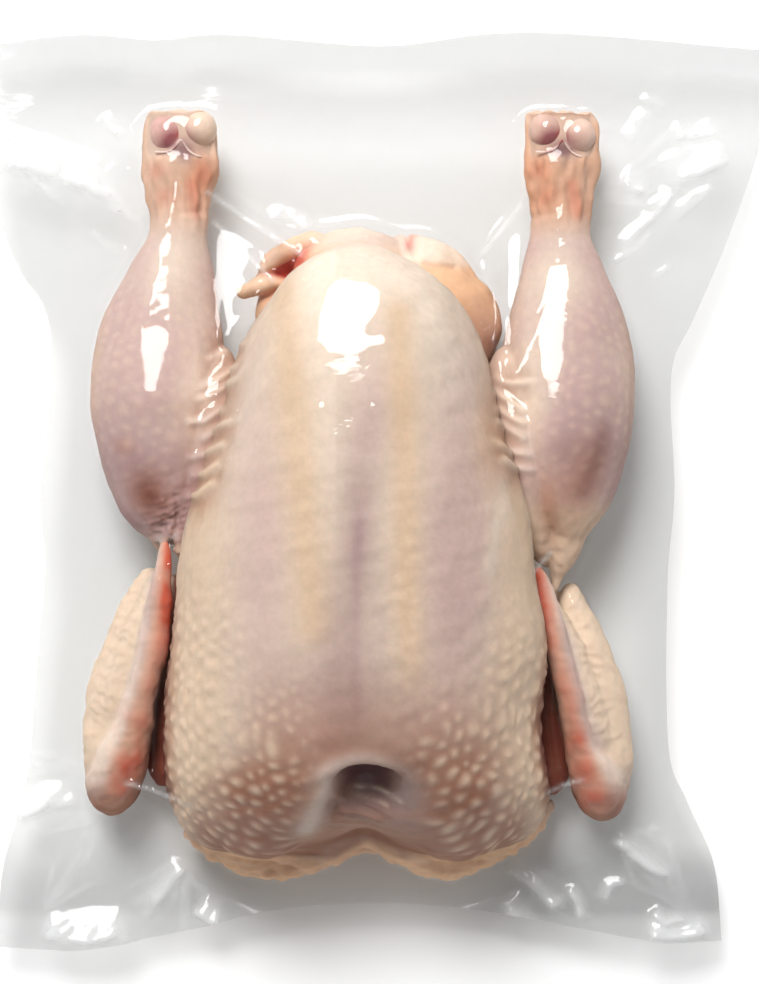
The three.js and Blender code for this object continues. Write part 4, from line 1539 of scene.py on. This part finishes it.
def film_creases():
    """The folds of the margin, and finer ones that fan out over it."""
    random = np.random.default_rng(7)
    lines = []
    for path, height, width in FOLDS:
        stronger = NEAR_EDGE_FOLDS if path[0][1] < -90 else 1
        lines.append(([(x, y - 1.2 * width) for x, y in path], stronger * height, width))
    for centre, middle, spread, count, reach in FANS:
        lines += fan(random, centre, middle, spread, count, reach, FAN_HEIGHT)
    return lines


# Taut bands of the film: the line of each in plan, and its lifts and half-widths at both ends.
TAUT_LINES = [
    ([(-61, 106), (-27, 83)], (0.5, 0.5), (0.6, 0.6)),
    ([(-59, 96), (-37, 74)], (0.5, 0.5), (0.6, 0.6)),
    ([(51, 103), (36, 84)], (0.3, 0.3), (0.6, 0.6)),
    ([(-79, -17), (-70, -15)], (0.2, 0.2), (0.6, 0.6)),
    ([(53, -28), (60, -21)], (0.2, 0.2), (0.6, 0.6)),
    ([(-89, -102), (-64, -108)], (0.1, 0.1), (0.6, 0.6)),
    ([(71, -101), (57, -105)], (0.1, 0.1), (0.6, 0.6)),
    ([(-70.5, 110), (-74.6, 86), (-77, 60)], (0, 0.8), (1.2, 4.5)),
    ([(63.3, 102), (64.3, 86)], (0, 1.8), (3, 2)),
    ([(60, 66), (56.4, 52), (53.4, 40)], (0, 1.6), (1.2, 7)),
]
WHITE_LINES = 7  # so many of them, from the first, turn the film white

# Where the bag's near edge curls up: x of its middle, and half its length.
CURLS = [(-101, 14), (108, 13)]

# Flat webs of film between the trunk and each leg, beside the tail: the corners of each.
WEBS = [
    [(-54, 50, 46), (-60, 97, 26), (-43, 84, 31)],
    [(43, 48, 46), (43, 90, 28), (54, 97, 25)],
]

# Small puckers of the film: where each is in plan, its radius and its height.
PUCKERS = [
    ((-70, 108), 1.3, 0.4), ((-71.5, 103.6), 1.4, 0.45), ((-73, 98.6), 1.5, 0.5), ((-74.6, 93), 1.6, 0.5),
    ((63.6, 97), 3, 0.8), ((66, 102), 1.6, 0.5), ((60.6, 101), 1.4, 0.4), ((62.4, 81), 1.4, 0.4),
    ((93, -103.5), 1.5, 0.8), ((95, -110), 1.5, 0.8), ((-51, -139), 1.3, 0.7), ((-47.5, -139), 1.2, 0.6),
    ((78.5, -149), 1.4, 0.7), ((70, -151.5), 1.3, 0.6), ((-82.5, -78.5), 1.3, 0.5), ((65.4, -83), 1.3, 0.5),
    ((2.7, 50), 2.4, 0.6), ((-20, 27.4), 2, 0.5), ((-0.7, 26.4), 3, 0.75), ((-26, 62), 2, 0.5),
]


def film_material(bag):
    """Clear film with a thin gloss, milky where it is creased, and darker where it hangs free, where its seal
    is doubled and where painted shade lies on it.
    """
    nodes = Nodes("clear_film")
    place = nodes.place()
    long_way = nodes.add("ShaderNodeMapping", {"Vector": place, "Scale": (0.45, 1.6, 0.6)}).outputs[0]
    ripple = nodes.noise(260, 2, vector=long_way)
    fine = nodes.noise(900, 2, vector=place)
    height = nodes.math("ADD", ripple, nodes.math("MULTIPLY", fine, 0.1))
    free = nodes.stained("free")
    normal = nodes.bump(height, nodes.span(free, 0, 1, 0.3, 0.08), 0.0003)
    # The seam stain darkens the tint: at the doubled seal along the far edge, and as painted shade near the
    # near corners and along the right side.
    dense = nodes.mix(nodes.stained("seam"), tuple(bag.tint), tuple(0.8 * c for c in bag.tint))
    tint = nodes.mix(free, (0.985, 0.985, 0.985), dense)
    clear = nodes.add("ShaderNodeBsdfTransparent", {"Color": tint})
    haze = nodes.add("ShaderNodeBsdfDiffuse", {"Color": (0.93, 0.94, 0.94, 1)})
    blur = nodes.span(free, 0, 1, 0.05, 0.13)
    gloss = nodes.add("ShaderNodeBsdfGlossy", {"Color": (1, 1, 1, 1), "Roughness": blur, "Normal": normal})
    edge = nodes.add("ShaderNodeFresnel", {"IOR": 1.6, "Normal": normal}).outputs[0]
    edge = nodes.math("MINIMUM", nodes.math("MULTIPLY", edge, 0.5), 0.032)
    white_folds = nodes.math("MULTIPLY", nodes.stained("creased"), 0.3)
    cloud = nodes.math("ADD", nodes.math("MULTIPLY", free, 0.06), white_folds)
    milky = nodes.add("ShaderNodeMixShader", {0: cloud, 1: clear.outputs[0], 2: haze.outputs[0]})
    film = nodes.add("ShaderNodeMixShader", {0: edge, 1: milky.outputs[0], 2: gloss.outputs[0]})
    return nodes.finish(film.outputs[0])


def denser_where_steep(plan, heights, x, y, rounds=60):
    """Moves a grid's inner knots towards steep places, so that its cells have like areas on the slope."""
    slope_y, slope_x = np.gradient(heights, plan.STEP)
    weight = np.minimum(np.sqrt(1 + slope_x**2 + slope_y**2), 4)
    for _ in range(rounds):
        w = plan.sample(weight, x, y)
        sides = []
        for shift, axis in ((1, 0), (-1, 0), (1, 1), (-1, 1)):
            near = (w + np.roll(w, shift, axis)) / 2
            sides.append((near, np.roll(x, shift, axis), np.roll(y, shift, axis)))
        total = sum(s[0] for s in sides)
        new_x = sum(s[0] * s[1] for s in sides) / total
        new_y = sum(s[0] * s[2] for s in sides) / total
        x[1:-1, 1:-1] = new_x[1:-1, 1:-1]
        y[1:-1, 1:-1] = new_y[1:-1, 1:-1]
    return x, y


def film_piece(name, plan, heights, free, creased, material):
    """One film as a single surface, whose knots are closer where it is steep."""
    columns, rows = FILM_GRIDS[name]
    x, y = denser_where_steep(plan, heights, *pouch_plan(columns, rows))
    points = np.stack([x.ravel(), y.ravel(), plan.sample(heights, x, y).ravel()], 1)
    faces = grid_faces(rows, columns, closed=False)
    if name == "film_lower":
        faces = [face[::-1] for face in faces]
    piece = mesh_object(name, points, faces)
    # Painted light: the film is kept clearer in a band near y = 136, to lift the darker band where the far
    # seal's shadow falls.
    stain(piece, "free", (plan.sample(free, x, y) * (1 - 0.7 * bell(y, 136, 7))).ravel())
    stain(piece, "creased", plan.sample(creased, x, y).ravel())
    # Painted shade: the seam stain darkens the film towards its near corners, most on the right, and in a
    # band along its right side, where the bird's shadow falls; along the far edge it is the doubled film of
    # the seal.
    shaded_corners = np.where(x > 0, 1.0, 0.38) * smooth_step(25, 70, np.abs(x))
    painted_shade = smooth_step(-118, -142, y) * (0.18 + shaded_corners)
    painted_shade = np.maximum(painted_shade, 0.25 * smooth_step(84, 100, x) * smooth_step(90, 10, y))
    painted_shade = painted_shade * (0.2 + 0.8 * smooth_step(-154, -147, y))
    stain(piece, "seam", np.maximum(painted_shade, 0.5 * smooth_step(141.5, 153, y)).ravel())
    return finish_piece(piece, material)


def margin_heights(plan, bag):
    """The height of the seam between both films, with waves that grow towards the bag's edges."""
    x, y = plan.x, plan.y
    across, along = x / BAG_HALF_WIDTH, y / BAG_HALF_LENGTH
    rim = smooth_step(0.55, 1, np.maximum(np.abs(across), np.abs(along)))
    wave = np.sin(0.0594 * x + 9.3) * along**2 + np.sin(0.046 * y + 8.7) * across**2
    wave = wave * (1 - 0.6 * smooth_step(100, 150, y))
    drooping_corners = np.where(y > 0, 4, 9) * (across * along) ** 2
    seal = bag.margin_height + 2.2 * wave * rim - drooping_corners + 0.25 * Ripple(51, 70, 3)(x, y)
    near_edge = np.clip((-150 - y) / 11, 0, 1)
    for middle, reach in CURLS:
        seal = seal + 4.5 * near_edge * smooth_step(reach + 2, reach - 2, np.abs(x - middle))
    return seal


def upper_film_heights(plan, bag, seal, upper, over_bird):
    """The upper film before it is creased: drawn over the skin, the webs and the taut bands."""
    inner = (slice(1, -1), slice(1, -1))
    edge = seal + bag.margin_gap / 2
    skin = softened(np.fmax(seal - BESIDE_BIRD, upper + bag.film_gap), 3)
    ends = sum(spot(plan.x, plan.y, (side * HOCK_OUT[side], 138), (16, 6)) for side in (LEFT, RIGHT))
    tightness = bag.tightness * (1 + 1.8 * over_bird + 2 * ends)
    held = np.maximum(skin, edge)
    for corners in WEBS:
        held = np.maximum(held, web(plan, corners))
    top = drawn(held, tightness)
    for line in TAUT_LINES:
        held = np.maximum(held, strung(plan, top, *line))
    top = drawn(held, tightness, top)
    hanging = ((top > held + 0.05) | (edge > skin)) & (ends < 0.15)
    for step in range(6):
        if step == 2:
            hanging &= top > seal + 5
        smoother = np.maximum(neighbours(top), skin[inner])
        top[inner] = np.where(hanging[inner], smoother, top[inner])
    return top


def build_bag(bag):
    """Both films of the bag, drawn over the bird that is there."""
    bird_pieces = [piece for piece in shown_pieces() if not piece.name.startswith("film")]
    plan = Plan()
    x, y = plan.x, plan.y
    upper, lower = bird_heights(plan, bird_pieces)
    over_bird = softened(np.isfinite(upper).astype(float), 4)
    seal = margin_heights(plan, bag)

    top = upper_film_heights(plan, bag, seal, upper, over_bird)
    crumple = 1 + 0.16 * Ripple(53, 13, 2)(x, y)
    creased = np.zeros_like(top)
    for path, height, width in film_creases():
        fold = crease(x, y, path, 1, width)
        top = top + height * crumple * fold
        creased = np.maximum(creased, fold * min(1, 0.35 + 0.25 * height))
    top = top + sum(height * spot(x, y, place, (radius, radius)) for place, radius, height in PUCKERS)
    creased = creased * crumple * (1 - over_bird) * smooth_step(32, 24, top)
    for path, *_ in TAUT_LINES[:WHITE_LINES]:
        creased = np.maximum(creased, streak(x, y, path, 0.6))

    slope_y, slope_x = np.gradient(top)
    gap = (top - np.fmax(upper, 0)) / np.sqrt(1 + slope_x**2 + slope_y**2)
    free = softened(smooth_step(0.8, 2.4, np.where(np.isnan(gap), 9, gap)), 2)
    free = free * (1 - 0.8 * over_bird) * (1 - 0.8 * smooth_step(26, 38, top))

    under = np.fmin(seal - bag.margin_gap / 2, lower - bag.film_gap)
    bottom = -drawn(-under, np.full_like(under, 0.05))
    bottom = np.minimum(np.maximum(bottom, FLOOR_ROOM), top - FILM_ROOM)
    film = film_material(bag)
    film_piece("film_upper", plan, top, free, creased, film)
    film_piece("film_lower", plan, bottom, np.ones_like(free), np.zeros_like(free), film)


# ---- the stage ----

# In metres.
LIGHTS_AIM = (0, 0, 0.05)
KEY_PLACE, KEY_SIZE = (-0.42, 1.42, 2.22), (1.0, 1.0)
GLOSS_PLACE, GLOSS_SIZE = (-0.4, 1.8, 1.6), (1.7, 2.5)
GLOSS_ROLL = -25  # degrees
SENSOR_WIDTH, LENS = 36, 131.4  # millimetres


def area_light(name, place, size, power, roll=0.0):
    """An oval panel that faces the pack, turned about its own axis by an angle in degrees."""
    light = bpy.data.lights.new(name, "AREA")
    light.shape = "ELLIPSE"
    light.size, light.size_y = size
    light.energy = power
    lamp = bpy.data.objects.new(name, light)
    lamp.location = place
    aim = Vector(LIGHTS_AIM) - Vector(place)
    turn = aim.to_track_quat("-Z", "Y") @ Quaternion((0, 0, 1), math.radians(roll))
    lamp.rotation_euler = turn.to_euler()
    bpy.context.scene.collection.objects.link(lamp)
    return lamp


def add_floor(size):
    """A white paper floor, as wide and long as its size in metres."""
    half = size / MM / 2
    corners = [(-half, -half, 0), (half, -half, 0), (half, half, 0), (-half, half, 0)]
    floor = mesh_object("floor", corners, [(0, 1, 2, 3)])
    nodes = Nodes("floor_paper")
    shade = nodes.mix(nodes.noise(3, 2), (0.89, 0.89, 0.89), (0.91, 0.91, 0.91))
    shader = nodes.add("ShaderNodeBsdfPrincipled", {"Base Color": shade, "Roughness": 0.9})
    floor.data.materials.append(nodes.finish(shader.outputs[0]))
    floor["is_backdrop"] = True


def studio_world(brightness):
    """White light from all round, weakest overhead and strongest on the +Y side."""
    nodes = Nodes("studio", bpy.data.worlds.new("studio"))
    way = nodes.add("ShaderNodeTexCoord").outputs["Generated"]
    way = nodes.add("ShaderNodeSeparateXYZ", {0: way}).outputs
    walls = nodes.span(way["Z"], 0, 1, 1.3, 0.85)
    windows = nodes.span(way["Y"], -1, 1, 0.75, 1.25)
    strength = nodes.math("MULTIPLY", nodes.math("MULTIPLY", walls, windows), brightness)
    sky = nodes.add("ShaderNodeBackground", {"Color": (1, 1, 1, 1), "Strength": strength})
    return nodes.finish(sky.outputs[0], "World")


def camera_overhead(height):
    """A camera that looks straight down from its height in metres."""
    camera_data = bpy.data.cameras.new("camera")
    camera_data.sensor_width = SENSOR_WIDTH
    camera_data.lens = LENS
    camera_data.clip_end = 20
    camera = bpy.data.objects.new("camera", camera_data)
    camera.location = (0, 0, height)
    bpy.context.scene.collection.objects.link(camera)
    return camera


def build_stage(stage):
    """The floor, a soft light, a panel for the film's highlights, the room and the camera."""
    add_floor(stage.floor_size)
    key = area_light("key", KEY_PLACE, KEY_SIZE, stage.key_power)
    key.visible_glossy = False
    gloss = area_light("gloss", GLOSS_PLACE, GLOSS_SIZE, stage.gloss_power, GLOSS_ROLL)
    gloss.visible_diffuse = False
    scene = bpy.context.scene
    scene.world = studio_world(stage.room_light)
    scene.camera = camera_overhead(stage.camera_height)
    scene.view_settings.view_transform = "Standard"
    scene.cycles.use_denoising = True
    scene.cycles.transparent_max_bounces = 16


# ---- operators ----


class MESH_OT_chicken_trunk(bpy.types.Operator):
    """Add the trunk, with its breast, neck end and tail"""

    bl_idname = "mesh.chicken_trunk"
    bl_label = "Trunk and Tail"

    def execute(self, context):
        bird = context.scene.chicken_bird
        build_trunk(bird, skin_material(bird))
        build_tail(bird)
        return {"FINISHED"}


class MESH_OT_chicken_legs(bpy.types.Operator):
    """Add both legs, with the bare bone ends at their hocks"""

    bl_idname = "mesh.chicken_legs"
    bl_label = "Legs"

    def execute(self, context):
        bird = context.scene.chicken_bird
        for side in (LEFT, RIGHT):
            build_leg(bird, side, skin_material(bird))
            build_hock_bones(bird, side)
        return {"FINISHED"}


class MESH_OT_chicken_wings(bpy.types.Operator):
    """Add both folded wings"""

    bl_idname = "mesh.chicken_wings"
    bl_label = "Wings"

    def execute(self, context):
        for side in (LEFT, RIGHT):
            build_wing(side, skin_material(context.scene.chicken_bird))
        return {"FINISHED"}


class MESH_OT_chicken_bag(bpy.types.Operator):
    """Draw the bag's two films over the bird that is there"""

    bl_idname = "mesh.chicken_bag"
    bl_label = "Vacuum Bag"

    def execute(self, context):
        build_bag(context.scene.chicken_bag)
        return {"FINISHED"}


class SCENE_OT_chicken_stage(bpy.types.Operator):
    """Add the floor, the lights and the camera"""

    bl_idname = "scene.chicken_stage"
    bl_label = "Stage"

    def execute(self, context):
        build_stage(context.scene.chicken_stage)
        return {"FINISHED"}


class VIEW3D_PT_chicken(bpy.types.Panel):
    """Sizes and colours, and a button for each group of pieces"""

    bl_label = "Vacuum-Packed Chicken"
    bl_space_type = "VIEW_3D"
    bl_region_type = "UI"
    bl_category = "Chicken"

    def draw(self, context):
        for group in ("chicken_bird", "chicken_bag", "chicken_stage"):
            settings = getattr(context.scene, group)
            box = self.layout.box()
            for name in settings.__annotations__:
                box.prop(settings, name)
        for operator in OPERATORS:
            self.layout.operator(operator.bl_idname)


OPERATORS = (
    MESH_OT_chicken_trunk,
    MESH_OT_chicken_legs,
    MESH_OT_chicken_wings,
    MESH_OT_chicken_bag,
    SCENE_OT_chicken_stage,
)
CLASSES = (BirdSettings, BagSettings, StageSettings, *OPERATORS, VIEW3D_PT_chicken)


def register():
    for each in CLASSES:
        bpy.utils.register_class(each)
    bpy.types.Scene.chicken_bird = PointerProperty(type=BirdSettings)
    bpy.types.Scene.chicken_bag = PointerProperty(type=BagSettings)
    bpy.types.Scene.chicken_stage = PointerProperty(type=StageSettings)


def unregister():
    del bpy.types.Scene.chicken_bird, bpy.types.Scene.chicken_bag, bpy.types.Scene.chicken_stage
    for each in reversed(CLASSES):
        bpy.utils.unregister_class(each)


def main():
    register()
    bpy.ops.mesh.chicken_trunk()
    bpy.ops.mesh.chicken_legs()
    bpy.ops.mesh.chicken_wings()
    bpy.ops.mesh.chicken_bag()
    bpy.ops.scene.chicken_stage()


if __name__ == "__main__":
    main()
